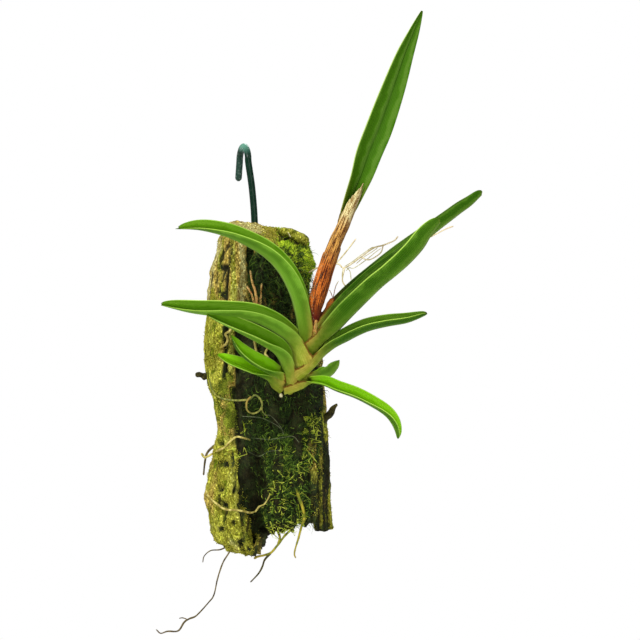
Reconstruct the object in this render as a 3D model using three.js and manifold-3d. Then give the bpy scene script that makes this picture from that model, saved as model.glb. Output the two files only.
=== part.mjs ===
// A small epiphytic orchid grown on a slab of mossy bark that hangs from a coated wire hook.
//
// The slab is split flat at the back and rough at the front. A fan of folded leaves stands out of it on a
// short stem of overlapping leaf bases, one tall leaf rises from a brown papery sheath, and thin roots cling
// to the bark or hang below it.
//
// Millimetres. +Z is up, +X is to the viewer's right and the viewer stands at -Y, so the slab's flat back
// faces +Y. The origin is the inside of the hook's crown, where it sits on the rail that it hangs from.

import * as THREE from "three";
import { mergeVertices } from "three/addons/utils/BufferGeometryUtils.js";
import Module from "manifold-3d";

const wasm = await Module();
wasm.setup();

// Driving dimensions
const WIRE_DIAMETER = 2.7;
const HOOK_BEND_RADIUS = 6.5;
const HOOK_LEG_LENGTH = 13.4;
const HOOK_INSERTION = 24;
const SLAB_BACK_Y = -1;
const SLAB_MIDDLE_Y = -11;
const SLAB_FRONT_DEPTH = 18;
const SLAB_BACK_BULGE = 12;
const CLEARANCE = 0.3;
const LEAF_KEEL_THICKNESS = 1.3;
const LEAF_EDGE_THICKNESS = 0.8;
const CHANNEL_GAP = 0.1;

// The plane of the leaf fan leans out of the bark, and this is its normal on the viewer's side.
const FAN_NORMAL = new THREE.Vector3(0, -0.8, -0.6);

const COLOURS = {
  bark: 0x6d6424,
  wire: 0x1f4a3d,
  leaf: 0x5f9a2c,
  tallLeaf: 0x3f7d1a,
  leafBase: 0x9fb04a,
  papery: 0x9a5a26,
  paleRoot: 0xd9c98c,
  greenRoot: 0x8f9a52,
  brownRoot: 0x5b4a34,
  rootlet: 0xa8743c,
};

const material = (colour, roughness, metalness = 0) =>
  new THREE.MeshStandardMaterial({ color: COLOURS[colour], roughness, metalness });

const v3 = ([x, y, z]) => new THREE.Vector3(x, y, z);
const bell = (x, centre, width) => Math.exp(-(((x - centre) / width) ** 2));
const smooth = (x, from, to) => THREE.MathUtils.smoothstep(x, from, to);

// A value read off a smooth curve through [position, value] pairs, held level past both ends.
function along(pairs, at) {
  if (at <= pairs[0][0]) return pairs[0][1];
  for (let i = 1; i < pairs.length; i++) {
    const [a, b] = [pairs[i - 1], pairs[i]];
    if (at <= b[0]) return a[1] + (b[1] - a[1]) * smooth(at, a[0], b[0]);
  }
  return pairs[pairs.length - 1][1];
}

// Closed surface through rings of equal length, closed by a fan at each end.
function loft(rings) {
  const count = rings[0].length;
  const points = rings.flat();
  const faces = [];
  for (let i = 0; i + 1 < rings.length; i++)
    for (let j = 0; j < count; j++) {
      const a = i * count + j;
      const b = i * count + ((j + 1) % count);
      faces.push(a, b, a + count, b, b + count, a + count);
    }
  const cap = (ring, turn) => {
    const first = ring * count;
    const centre = points.length;
    points.push(rings[ring].reduce((sum, p) => sum.add(p), new THREE.Vector3()).divideScalar(count));
    for (let j = 0; j < count; j++) {
      const [a, b] = [first + j, first + ((j + 1) % count)];
      faces.push(...(turn ? [centre, b, a] : [centre, a, b]));
    }
  };
  cap(0, true);
  cap(rings.length - 1, false);
  const made = new THREE.BufferGeometry();
  made.setAttribute("position", new THREE.Float32BufferAttribute(points.flatMap((p) => p.toArray()), 3));
  made.setIndex(faces);
  return made;
}

// A geometry as a solid whose faces point out.
function solid(geometry) {
  geometry.deleteAttribute("normal");
  geometry.deleteAttribute("uv");
  const merged = mergeVertices(geometry, 1e-4);
  const vertProperties = merged.attributes.position.array;
  const build = (triVerts) => new wasm.Manifold(new wasm.Mesh({ numProp: 3, vertProperties, triVerts }));
  const index = new Uint32Array(merged.index.array);
  const made = build(index);
  return made.volume() > 0 ? made : build(index.reverse());
}

// Solids as one.
const join = (solids) => solids.reduce((whole, next) => whole.add(next));

// The largest connected body of a solid: scraps that a cut leaves are dropped.
function largest(whole) {
  return whole.decompose().reduce((best, body) => (body.volume() > best.volume() ? body : best));
}

function geometryOf(whole) {
  const mesh = whole.getMesh();
  const made = new THREE.BufferGeometry();
  const position = new Float32Array(mesh.numVert * 3);
  for (let i = 0; i < mesh.numVert; i++)
    position.set(mesh.vertProperties.subarray(i * mesh.numProp, i * mesh.numProp + 3), i * 3);
  made.setAttribute("position", new THREE.BufferAttribute(position, 3));
  made.setIndex(new THREE.BufferAttribute(mesh.triVerts, 1));
  made.computeVertexNormals();
  return made;
}

// A round tube through points, with a radius at each end or a list of [share of length, radius] pairs.
function tube(points, radius, { sides = 6, steps = 12, grow = 0 } = {}) {
  const curve = new THREE.CatmullRomCurve3(points.map(v3), false, "catmullrom", 0.5);
  const pairs = Array.isArray(radius) ? radius : [[0, radius], [1, radius]];
  const frames = curve.computeFrenetFrames(steps, false);
  const rings = frames.tangents.map((_, i) => {
    const share = i / steps;
    const centre = curve.getPointAt(share);
    const r = along(pairs, share) + grow;
    return Array.from({ length: sides }, (_, j) => {
      const turn = (2 * Math.PI * j) / sides;
      return centre
        .clone()
        .addScaledVector(frames.normals[i], Math.cos(turn) * r)
        .addScaledVector(frames.binormals[i], Math.sin(turn) * r);
    });
  });
  return solid(loft(rings));
}

// Bark slab

// Outlines of the slab as the viewer sees it: [height, x] up its two edges, [x, height] along its two ends.
const SLAB_LEFT_EDGE = [
  [-162, -5], [-160, -8.8], [-156, -12.2], [-152, -13.6], [-146, -14], [-139, -16.1], [-130, -14.4],
  [-121, -12.6], [-113, -10.9], [-101, -12.4], [-92, -15], [-78, -16], [-60, -14.9], [-50, -14],
  [-38, -10.8], [-28, -6.4],
];
const SLAB_RIGHT_EDGE = [
  [-154, 35.8], [-140, 34.8], [-121, 34], [-104, 33], [-84, 31.6], [-66, 28], [-54, 26.6], [-46, 28.8],
  [-38, 26.4], [-33, 23.6],
];
const SLAB_TOP = [[-8, -28.4], [3, -28.8], [12, -31], [20, -32.4], [25, -36], [29, -43]];
const SLAB_BOTTOM = [
  [-9, -159], [-5, -161.6], [1, -161.6], [4, -160], [6.2, -156], [11, -153.4], [18, -152.4],
  [22, -149.2], [26, -149.4], [31, -153.2], [36, -153.6],
];
const TOP_CREST_Y = -9;

// How square the slab's section is, from 1 for round down to 0 for a box: its bark side and its split side.
const FRONT_ROUNDNESS = 0.8;
const BACK_ROUNDNESS = 0.55;

// Height of the broken top end: level behind its crest, and sloping down to the viewer in front of it.
function topHeight(x, y) {
  const slope = 0.32 + 0.42 * smooth(x, 4, 22);
  const moss = 1.6 * bell(x, 20, 9) * bell(y, -17, 7);
  const lumps = 0.5 * Math.sin(0.9 * x + 0.4 * y) * Math.sin(0.7 * y);
  return along(SLAB_TOP, x) - slope * Math.max(0, TOP_CREST_Y - y) + moss + lumps;
}

// Height of the ragged bottom end, a little higher at the back than at the front.
function bottomHeight(x, y) {
  return along(SLAB_BOTTOM, x) + 0.16 * (y + 29) + 0.6 * Math.sin(1.1 * x) * Math.sin(0.5 * y);
}

// How far the bark stands out of a plain half-round front, at s from -1 (left edge) to 1 (right edge).
function barkRelief(s, z) {
  const low = smooth(-z, 112, 138);
  const sway = 0.05 * Math.sin(z / 11);
  const leftRidge = (3.4 + 3.8 * low) * bell(s, -0.7 + 0.14 * low + sway, 0.22 + 0.08 * low);
  const gap = -(3.2 + 5.5 * low) * bell(s, -0.3 + 0.1 * low + sway, 0.13);
  const hollow = -4.2 * bell(s, 0.15, 0.42) * smooth(-z, 84, 100);
  const rightRidge = 2.2 * bell(s, 0.74 + sway, 0.16);
  const waist = -2 * bell(z, -110, 12) * bell(s, -0.7, 0.3);
  const strips = 0.75 * Math.sin(17 * s + 1.4 * Math.sin(z / 9)) * bell(s, 0, 0.95);
  const scales = 0.6 * Math.sin(z / 3.7 + 5 * s) * Math.sin(6 * s + z / 17);
  return leftRidge + gap + hollow + rightRidge + waist + strips + scales;
}

const slabMiddle = (z) => (along(SLAB_LEFT_EDGE, z) + along(SLAB_RIGHT_EDGE, z)) / 2;
const slabHalf = (z) => (along(SLAB_RIGHT_EDGE, z) - along(SLAB_LEFT_EDGE, z)) / 2;

// x and y of the slab's outline at a height, at a turn from 0 (left edge) over the front to 1/2 (right edge)
// and back round behind.
function slabOutline(turn, z, grow) {
  const angle = 2 * Math.PI * turn;
  const power = (value, exponent) => Math.sign(value) * Math.abs(value) ** exponent;
  const front = Math.sin(angle) >= 0;
  const s = -power(Math.cos(angle), front ? FRONT_ROUNDNESS : BACK_ROUNDNESS);
  const x = slabMiddle(z) + (slabHalf(z) + grow) * s;
  const reach = Math.abs(Math.sin(angle)) ** (front ? 0.75 : 0.5);
  const depth = SLAB_FRONT_DEPTH + barkRelief(s, z) * smooth(reach, 0, 0.55) + grow;
  const behind = Math.min(SLAB_MIDDLE_Y + (SLAB_BACK_BULGE + grow) * reach, SLAB_BACK_Y + grow);
  return [x, front ? SLAB_MIDDLE_Y - depth * reach : behind];
}

// Bare slab: rings from the middle of its bottom end, up its sides, to the middle of its top end.
function slabSolid(grow) {
  const around = 44;
  const rows = 28;
  const capRings = 3;
  const rim = (turn, height, away) => {
    let z = height(10, -15);
    let [x, y] = slabOutline(turn, z, grow);
    for (let i = 0; i < 4; i++) {
      z = height(x, y) + away;
      [x, y] = slabOutline(turn, z, grow);
    }
    return new THREE.Vector3(x, y, z);
  };
  const turns = Array.from({ length: around }, (_, j) => j / around);
  const bottom = turns.map((turn) => rim(turn, bottomHeight, -grow));
  const top = turns.map((turn) => rim(turn, topHeight, grow));
  const middleOf = (ring, height, away) => {
    const centre = ring.reduce((sum, p) => sum.add(p), new THREE.Vector3()).divideScalar(around);
    centre.z = height(centre.x, centre.y) + away;
    return centre;
  };
  const capRing = (ring, centre, share, height, away) =>
    ring.map((p) => {
      const q = centre.clone().lerp(p, share);
      q.z = height(q.x, q.y) + away;
      return q;
    });
  const bottomCentre = middleOf(bottom, bottomHeight, -grow);
  const topCentre = middleOf(top, topHeight, grow);
  const rings = [];
  for (let k = 1; k < capRings; k++)
    rings.push(capRing(bottom, bottomCentre, k / capRings, bottomHeight, -grow));
  for (let i = 0; i <= rows; i++)
    rings.push(
      turns.map((turn, j) => {
        const z = THREE.MathUtils.lerp(bottom[j].z, top[j].z, i / rows);
        const [x, y] = slabOutline(turn, z, grow);
        return new THREE.Vector3(x, y, z);
      }),
    );
  for (let k = capRings - 1; k > 0; k--)
    rings.push(capRing(top, topCentre, k / capRings, topHeight, grow));
  return solid(loft(rings));
}

// y of the slab's front surface at a place that the viewer sees.
function barkFront(x, z) {
  const s = THREE.MathUtils.clamp((x - slabMiddle(z)) / slabHalf(z), -0.999, 0.999);
  const cosine = -Math.sign(s) * Math.abs(s) ** (1 / FRONT_ROUNDNESS);
  return slabOutline(Math.acos(THREE.MathUtils.clamp(cosine, -1, 1)) / (2 * Math.PI), z, 0)[1];
}

// A point that lies on the front of the bark: [x, z] or [x, z, height above it].
const onBark = ([x, z, above = 0]) => [x, barkFront(x, z) - above, z];

// Two short broken twigs that are part of the bark.
const TWIGS = [
  {
    points: [[-12, -12, -91], [-17.5, -13, -90], [-19.3, -13.5, -89.4]],
    radius: [[0, 1.6], [0.8, 1.1], [1, 0.7]],
  },
  {
    points: [[30, -14, -110], [34.5, -17, -105], [37.2, -18, -101.4]],
    radius: [[0, 2.6], [0.6, 1.6], [1, 0.8]],
  },
];

// Wire hook

const wireRadius = WIRE_DIAMETER / 2;
const HOOK_SIDEWAYS = 2.2;

// Centre line of the hook: up the shank at the front, over the crown and down the short leg behind the rail.
function hookPoints() {
  const crownZ = wireRadius - HOOK_BEND_RADIUS;
  const bend = Array.from({ length: 9 }, (_, i) => {
    const turn = (Math.PI * i) / 8;
    return [
      HOOK_SIDEWAYS * Math.cos(turn),
      -HOOK_BEND_RADIUS * Math.cos(turn),
      crownZ + HOOK_BEND_RADIUS * Math.sin(turn),
    ];
  });
  const legEnd = [-HOOK_SIDEWAYS - 0.3, HOOK_BEND_RADIUS, wireRadius - HOOK_LEG_LENGTH];
  return [[5.4, -6.5, -29 - HOOK_INSERTION], [5, -6.5, -30], [3.4, -6.5, -16], ...bend, legEnd];
}

// Leaves

// Width of one side of a leaf, as a share of its widest, from the leaf's foot (0) to its tip (1).
function leafWidth(t, foot, taperFrom, bluntness) {
  const opening = foot + (1 - foot) * smooth(t, 0, 0.3);
  const q = Math.max(0, (t - taperFrom) / (1.012 - taperFrom));
  return opening * (1 - q * q) ** bluntness;
}

// A value at a share of a leaf's length, from what it is at foot, middle and tip.
const MIDDLE_OF_LEAF = 0.45;
const onLeaf = ([foot, middle, tip], t) => along([[0, foot], [MIDDLE_OF_LEAF, middle], [1, tip]], t);

// A folded leaf along its keel. side is 1 for a leaf on the left of the fan and -1 on the right. fold is each
// half's angle from the channel's opening, and roll the channel's turn towards the viewer, both in degrees at
// foot, middle and tip.
function leafSolid(leaf, grow) {
  const { keel, side, width, fold, roll, foot = 0.8, taperFrom = 0.35, bluntness = 0.75 } = leaf;
  const steps = leaf.steps ?? 13;
  const across = [1, 0.55, 0];
  const curve = new THREE.CatmullRomCurve3(keel.map(v3), false, "catmullrom", 0.5);
  const rings = [];
  for (let i = 0; i <= steps; i++) {
    const t = i / steps;
    const at = curve.getPointAt(t);
    const forward = curve.getTangentAt(t);
    const opens = forward.clone().cross(FAN_NORMAL).multiplyScalar(side).normalize();
    opens.applyAxisAngle(forward, side * THREE.MathUtils.degToRad(onLeaf(roll, t)));
    const sideways = forward.clone().cross(opens).normalize();
    const half = THREE.MathUtils.degToRad(onLeaf(fold, t));
    const [c, s] = [Math.cos(half), Math.sin(half)];
    const w = width * leafWidth(t, foot, taperFrom, bluntness) + grow;
    const point = (share, sign, inner) => {
      const bow = 0.12 * w * share * (1 - share);
      const thick = THREE.MathUtils.lerp(LEAF_KEEL_THICKNESS, LEAF_EDGE_THICKNESS, share) / 2 + grow;
      const mitre = Math.min(1 / s, 2);
      const out = (inner ? -1 : 1) * thick * (share === 0 ? mitre : 1) + bow;
      const up = share === 0 ? -out : c * w * share - s * out;
      const away = share === 0 ? 0 : Math.max(s * w * share + c * out, CHANNEL_GAP / 2);
      return at.clone().addScaledVector(opens, up).addScaledVector(sideways, sign * away);
    };
    rings.push([
      ...across.map((share) => point(share, 1, true)),
      ...across.slice(0, 2).reverse().map((share) => point(share, -1, true)),
      ...across.map((share) => point(share, -1, false)),
      ...across.slice(0, 2).reverse().map((share) => point(share, 1, false)),
    ]);
  }
  return solid(loft(rings));
}

// Keels run from the joint with the leaf base to the tip, with the leaves numbered upwards from the oldest.
const LEAVES = {
  leaf_left_1: {
    keel: [[11.2, -35, -92.2], [7.2, -38, -90.2], [2.4, -40, -88.2], [-2.4, -42, -86.2], [-6.4, -43, -84.3],
      [-10.1, -43, -82]],
    side: 1, width: 4.2, fold: [22, 48, 55], roll: [0, 6, 14], foot: 0.75, taperFrom: 0.3,
  },
  leaf_left_2: {
    keel: [[14.8, -39, -90.8], [11, -42, -89.4], [7.2, -45, -87.4], [1.8, -48, -84], [-2.4, -50, -79.6],
      [-4.9, -51, -74.6]],
    side: 1, width: 5.2, fold: [20, 38, 40], roll: [0, 6, 14], foot: 0.75, taperFrom: 0.3,
  },
  leaf_left_3: {
    keel: [[16.2, -43, -88], [14.6, -46, -83.7], [12.2, -49, -80.6], [8, -52, -77.8], [1.8, -56, -74.4],
      [-5, -59, -70.8], [-14.2, -62, -66.2]],
    side: 1, width: 6.2, fold: [14, 30, 42], roll: [0, 10, 22], foot: 0.78, taperFrom: 0.32,
  },
  leaf_left_4: {
    keel: [[19.6, -47, -80.8], [17.9, -49, -76.6], [14.8, -52, -73.8], [9.5, -55, -70.3], [2.8, -57, -67.9],
      [-7, -59, -66.6], [-19.6, -61, -64.9], [-32.4, -62, -61.9]],
    side: 1, width: 6.9, fold: [14, 26, 34], roll: [0, 2, 4], foot: 0.8, taperFrom: 0.36, steps: 15,
  },
  leaf_left_5: {
    keel: [[22.2, -50, -71.6], [21, -51, -64.6], [18.7, -53, -57], [14.2, -55, -48.4], [7.4, -56, -41.3],
      [-3, -56, -36], [-14, -54, -32.8], [-25.2, -51, -31.1]],
    side: 1, width: 6.4, fold: [12, 18, 34], roll: [0, 1, 2], foot: 0.86, taperFrom: 0.45, steps: 15,
  },
  leaf_right_1: {
    keel: [[24.4, -40, -93], [27.2, -42, -92.5], [32.2, -47, -93.5], [37.6, -51, -96], [45, -54, -98.8],
      [52.3, -57, -102.7], [56.5, -58, -105.6], [59, -58, -108.6], [60.5, -57, -112], [61.1, -55, -114.8]],
    side: -1, width: 4.5, fold: [26, 28, 28], roll: [0, -13, -13], foot: 0.5, taperFrom: 0.5, bluntness: 0.6,
    steps: 15,
  },
  leaf_right_2: {
    keel: [[27.2, -36, -91], [31.2, -35, -91], [34.6, -33.5, -89.6], [36.8, -32, -87], [38.2, -31, -84.4]],
    side: -1, width: 4.1, fold: [18, 22, 24], roll: [0, 0, 0], foot: 0.6, taperFrom: 0.4, bluntness: 0.6,
    steps: 9,
  },
  leaf_right_3: {
    keel: [[30.6, -46, -82.8], [36, -49, -78.6], [41, -51.5, -76], [45.6, -53.5, -73.6], [50.6, -55, -71.6],
      [57.4, -57, -70], [64.2, -58, -68.8], [68.8, -58, -67.4], [72.6, -58, -65.8]],
    side: -1, width: 4.8, fold: [24, 26, 26], roll: [0, 0, 0], foot: 0.84, taperFrom: 0.3, bluntness: 0.46,
  },
  leaf_right_4: {
    keel: [[32.3, -52, -75.8], [36.8, -54, -72.3], [43.5, -57, -65.4], [53.4, -60, -54.8], [59.8, -61, -49],
      [65.2, -62, -44], [69.8, -62.5, -38.6], [74.3, -63, -33.3], [77.7, -63, -28.9]],
    side: -1, width: 8.2, fold: [14, 26, 30], roll: [4, 4, 4], foot: 0.8, taperFrom: 0.3, bluntness: 0.6,
    steps: 15,
  },
  leaf_right_5: {
    keel: [[33.6, -48, -69], [42.4, -45, -60.6], [54.4, -43, -50.6], [66.2, -42, -40.8], [76.6, -41, -33],
      [85.4, -40, -26.2], [90.8, -39.5, -22.1], [94.8, -39, -17.6]],
    side: -1, width: 6, fold: [12, 20, 26], roll: [0, -6, -12], foot: 0.95, taperFrom: 0.6, bluntness: 0.5,
    steps: 14,
  },
};

const TALL_LEAF = {
  keel: [[40.2, -46.6, -27], [44.4, -46, -16.8], [47, -45.4, -9.2], [50.3, -44.2, 0.1], [54.5, -42.8, 10.4],
    [59.6, -40.6, 24.8], [64.2, -38.6, 38.4], [67.6, -37.4, 46.8], [71, -36.4, 55.1]],
  side: 1, width: 5.9, fold: [40, 64, 62], roll: [-96, -102, -94], foot: 0.62, taperFrom: 0.34, bluntness: 0.9,
  steps: 15,
};

// Stem of overlapping leaf bases

// Short stem of the fan, from inside the bark to its growing tip, with half its width and thickness.
const STEM = [[17.8, -20, -96], [18.4, -30, -93.8], [19.8, -37, -91], [22.2, -42, -86.4], [24.8, -46, -81.6],
  [27.2, -49, -77.2], [29, -51, -72.6]];
const STEM_HALF_WIDTH = [[0, 3], [0.35, 4.4], [0.7, 4.8], [1, 2.4]];
const STEM_HALF_THICKNESS = [[0, 3], [0.7, 2.6], [1, 1.4]];

// The flattened core that the leaf bases clasp, as wide as they are in the plane of the fan.
function stemCore(grow) {
  const curve = new THREE.CatmullRomCurve3(STEM.map(v3));
  const steps = 7;
  const rings = Array.from({ length: steps + 1 }, (_, i) => {
    const share = i / steps;
    const forward = curve.getTangentAt(share);
    const across = forward.clone().cross(FAN_NORMAL).normalize();
    const outOfPlane = across.clone().cross(forward);
    return Array.from({ length: 8 }, (_, j) => {
      const turn = (2 * Math.PI * j) / 8;
      return curve
        .getPointAt(share)
        .addScaledVector(across, Math.cos(turn) * (along(STEM_HALF_WIDTH, share) + grow))
        .addScaledVector(outOfPlane, Math.sin(turn) * (along(STEM_HALF_THICKNESS, share) + grow));
    });
  });
  return solid(loft(rings));
}

// Half width and thickness of a leaf base where it springs from the stem, and its thickness at the leaf.
const BASE_HALF_WIDTH = 3.4;
const BASE_HALF_THICKNESS = 2.6;
const BASE_END_HALF_THICKNESS = 1.5;

// A base ends this far short of the leaf's first section, so that the leaf's foot covers it.
const BASE_SHORT_BY = 0.35;

// A flat sleeve from a place on the stem to the foot of its leaf, whose folded base clasps the stem.
function leafBase(leaf, from, grow) {
  const [footPoint, nextPoint] = leaf.keel.slice(0, 2).map(v3);
  const forward = nextPoint.clone().sub(footPoint).normalize();
  const opens = forward.clone().cross(FAN_NORMAL).multiplyScalar(leaf.side).normalize();
  const width = leaf.width * (leaf.foot ?? 0.8);
  const footCentre = footPoint
    .clone()
    .addScaledVector(opens, width * 0.46)
    .addScaledVector(forward, -BASE_SHORT_BY);
  const start = v3(from);
  const stations = [0, 0.35, 0.7, 1];
  const rings = stations.map((share) => {
    const centre = start.clone().lerp(footCentre, share);
    const tangent = footCentre.clone().sub(start).normalize().lerp(forward, share).normalize();
    const across = opens.clone().addScaledVector(tangent, -opens.dot(tangent)).normalize();
    const outOfPlane = tangent.clone().cross(across);
    const inPlane = THREE.MathUtils.lerp(BASE_HALF_WIDTH, width * 0.54, share) + grow;
    const thick = THREE.MathUtils.lerp(BASE_HALF_THICKNESS, BASE_END_HALF_THICKNESS, share) + grow;
    return Array.from({ length: 8 }, (_, j) => {
      const turn = (2 * Math.PI * (j + 0.5)) / 8;
      return centre
        .clone()
        .addScaledVector(across, Math.cos(turn) * inPlane)
        .addScaledVector(outOfPlane, Math.sin(turn) * thick);
    });
  });
  return solid(loft(rings));
}

// Where each leaf base springs from, on the stem.
const BASE_STARTS = {
  leaf_left_1: [15, -31, -96.6], leaf_right_1: [16.4, -34, -95.6], leaf_left_2: [17.2, -35, -94.4],
  leaf_right_2: [19, -35, -92], leaf_left_3: [19.2, -38, -91.4], leaf_right_3: [21.6, -41, -88],
  leaf_left_4: [23.6, -44, -84], leaf_right_4: [26, -47, -79.4], leaf_left_5: [26.6, -48.4, -78],
  leaf_right_5: [28, -49, -75],
};

const STEM_BRACT = [[28, -50, -76], [29.4, -52, -71.4], [29.2, -52.4, -66.6]];

function stemSolid(grow) {
  const bract = tube(STEM_BRACT, [[0, 1.6], [1, 0.9]], { sides: 6, steps: 4, grow });
  const bases = Object.entries(BASE_STARTS).map(([name, from]) => leafBase(LEAVES[name], from, grow));
  return join([stemCore(grow), bract, ...bases]);
}

// Brown papery shoot

// Centre line and radius of the papery sheath, whose lower scale ends where the radius steps in.
const SHOOT = [[29, -51, -66.4], [29, -50.8, -61], [31.4, -50.6, -52.2], [33.6, -50.4, -45.2],
  [36.3, -50, -37.1], [38.7, -49.8, -31.1], [41.2, -49.4, -25.6], [44, -48.9, -19.2], [47.4, -48.6, -12.9]];
const SHOOT_RADIUS = [[0, 0.9], [0.1, 2.9], [0.2, 3.2], [0.44, 3.3], [0.47, 2.9], [0.74, 2.9], [0.86, 2.1],
  [1, 0.5]];
const SHOOT_BRACT = [[32.6, -49, -68.6], [34.2, -48.6, -62.4], [36, -48.2, -58.8]];

function shootSolid(grow) {
  const scale = tube(SHOOT_BRACT, [[0, 0.8], [0.6, 1.1], [1, 0.5]], { sides: 6, steps: 4, grow });
  const foot = tube([[29, -50, -65], [33, -49, -66.6]], 0.9, { sides: 6, steps: 2, grow });
  return join([tube(SHOOT, SHOOT_RADIUS, { sides: 9, steps: 17, grow }), scale, foot]);
}

// Roots

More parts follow.
